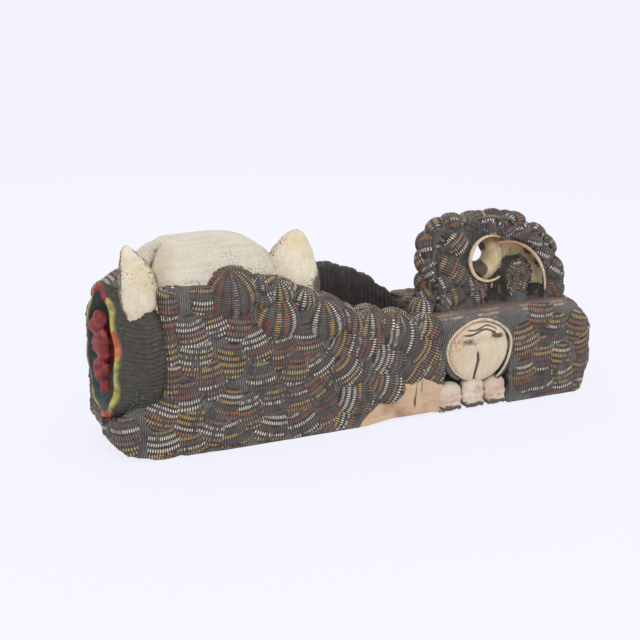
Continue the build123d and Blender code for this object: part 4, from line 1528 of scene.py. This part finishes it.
def make_brows():
    """Flaming brows: curled ridges fanning out over each eye."""
    low, high = (Vector(c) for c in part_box("brows"))
    eye_z = sum(c[2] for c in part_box("eyes")) / 2
    deep = high.y - low.y
    for label, x in (("left", -0.280), ("right", -0.164)):
        blobs = []
        for k in range(25):
            turn = math.radians(8 + 164 * k / 24)
            for reach, size in ((0.0245, 0.0040), (0.0300, 0.0046)):
                place = (x + reach * math.cos(turn), low.y + 0.42 * deep, eye_z + reach * math.sin(turn))
                blobs.append((place, (size, 0.40 * deep, size)))
        brow = blobs_object(label + "_brow_carving", blobs, 0.0012, 2, [EAR_PAINT])
        centre = Vector((x, 0, eye_z))
        displace(brow, lambda place, normal: 0.0009 * math.sin(
            24 * math.atan2(place.z - centre.z, place.x - centre.x)))
        set_paint(brow, lambda place, normal: blend_colour(
            EAR_YELLOW, EAR_OLIVE, smooth_step((place - centre).xz.length, 0.0262, 0.0285)))
        put(brow, "ear_paint", *(("brows",) if label == "left" else ()))


EYE_PAINT = brushed_paint("eye_paint", 0.25)
make_snout()
make_nose()
make_jaw()
make_tongue()
make_teeth()
make_eyes()
make_brows()


# ---------------------------------------------------------------- stage, light and camera
def make_stage():
    """Pale seamless floor, mostly self-lit so that it stays even."""
    g = Graph("pale_floor")
    tree = g.material.node_tree
    glow = tree.nodes.new("ShaderNodeEmission")
    glow.inputs["Color"].default_value = (0.905, 0.905, 0.991, 1.0)
    blend = tree.nodes.new("ShaderNodeMixShader")
    blend.inputs[0].default_value = 0.12
    g.shader.inputs["Base Color"].default_value = (0.86, 0.86, 0.94, 1.0)
    g.shader.inputs["Roughness"].default_value = 0.9
    tree.links.new(glow.outputs[0], blend.inputs[1])
    tree.links.new(g.shader.outputs[0], blend.inputs[2])
    tree.links.new(blend.outputs[0], tree.nodes["Material Output"].inputs["Surface"])
    half = 12.0
    floor = mesh_object("floor", [(-half, -half, 0), (half, -half, 0), (half, half, 0), (-half, half, 0)],
                        [(0, 1, 2, 3)], [g.material])


def add_area_light(name, place, power, size):
    light = bpy.data.lights.new(name, "AREA")
    light.energy = power
    light.size = size
    lamp = bpy.data.objects.new(name, light)
    lamp.location = place
    lamp.rotation_euler = Vector(place).to_track_quat("Z", "Y").to_euler()
    bpy.context.scene.collection.objects.link(lamp)


def make_light():
    world = bpy.data.worlds.new("studio")
    world.use_nodes = True
    background = world.node_tree.nodes["Background"]
    background.inputs["Color"].default_value = (0.905, 0.905, 0.991, 1.0)
    background.inputs["Strength"].default_value = 1.0
    bpy.context.scene.world = world
    add_area_light("key", (-0.9, -1.3, 1.7), 16.0, 1.2)
    add_area_light("fill", (1.4, -1.0, 0.9), 5.0, 1.2)
    add_area_light("back", (0.3, 1.6, 1.3), 6.0, 1.4)


def make_camera():
    azimuth, elevation, distance = math.radians(-26.0), math.radians(15.4), 2.0
    target = Vector((-0.006, 0.074, 0.1107))
    level = math.cos(elevation)
    back = Vector((math.sin(azimuth) * level, -math.cos(azimuth) * level, math.sin(elevation)))
    lens = bpy.data.cameras.new("camera")
    lens.lens = 75.94
    lens.sensor_width = 36.0
    camera = bpy.data.objects.new("camera", lens)
    camera.location = target + back * distance
    camera.rotation_euler = back.to_track_quat("Z", "Y").to_euler()
    bpy.context.scene.collection.objects.link(camera)
    bpy.context.scene.camera = camera
    bpy.context.scene.view_settings.view_transform = "Standard"


make_stage()
make_light()
make_camera()

for dowels in ("horn_dowel", "ear_dowels", "skull_dowels", "tail_dowels", "leg_dowels", "face_dowels"):
    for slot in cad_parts[dowels].material_slots:
        slot.material = DOWEL_WOOD
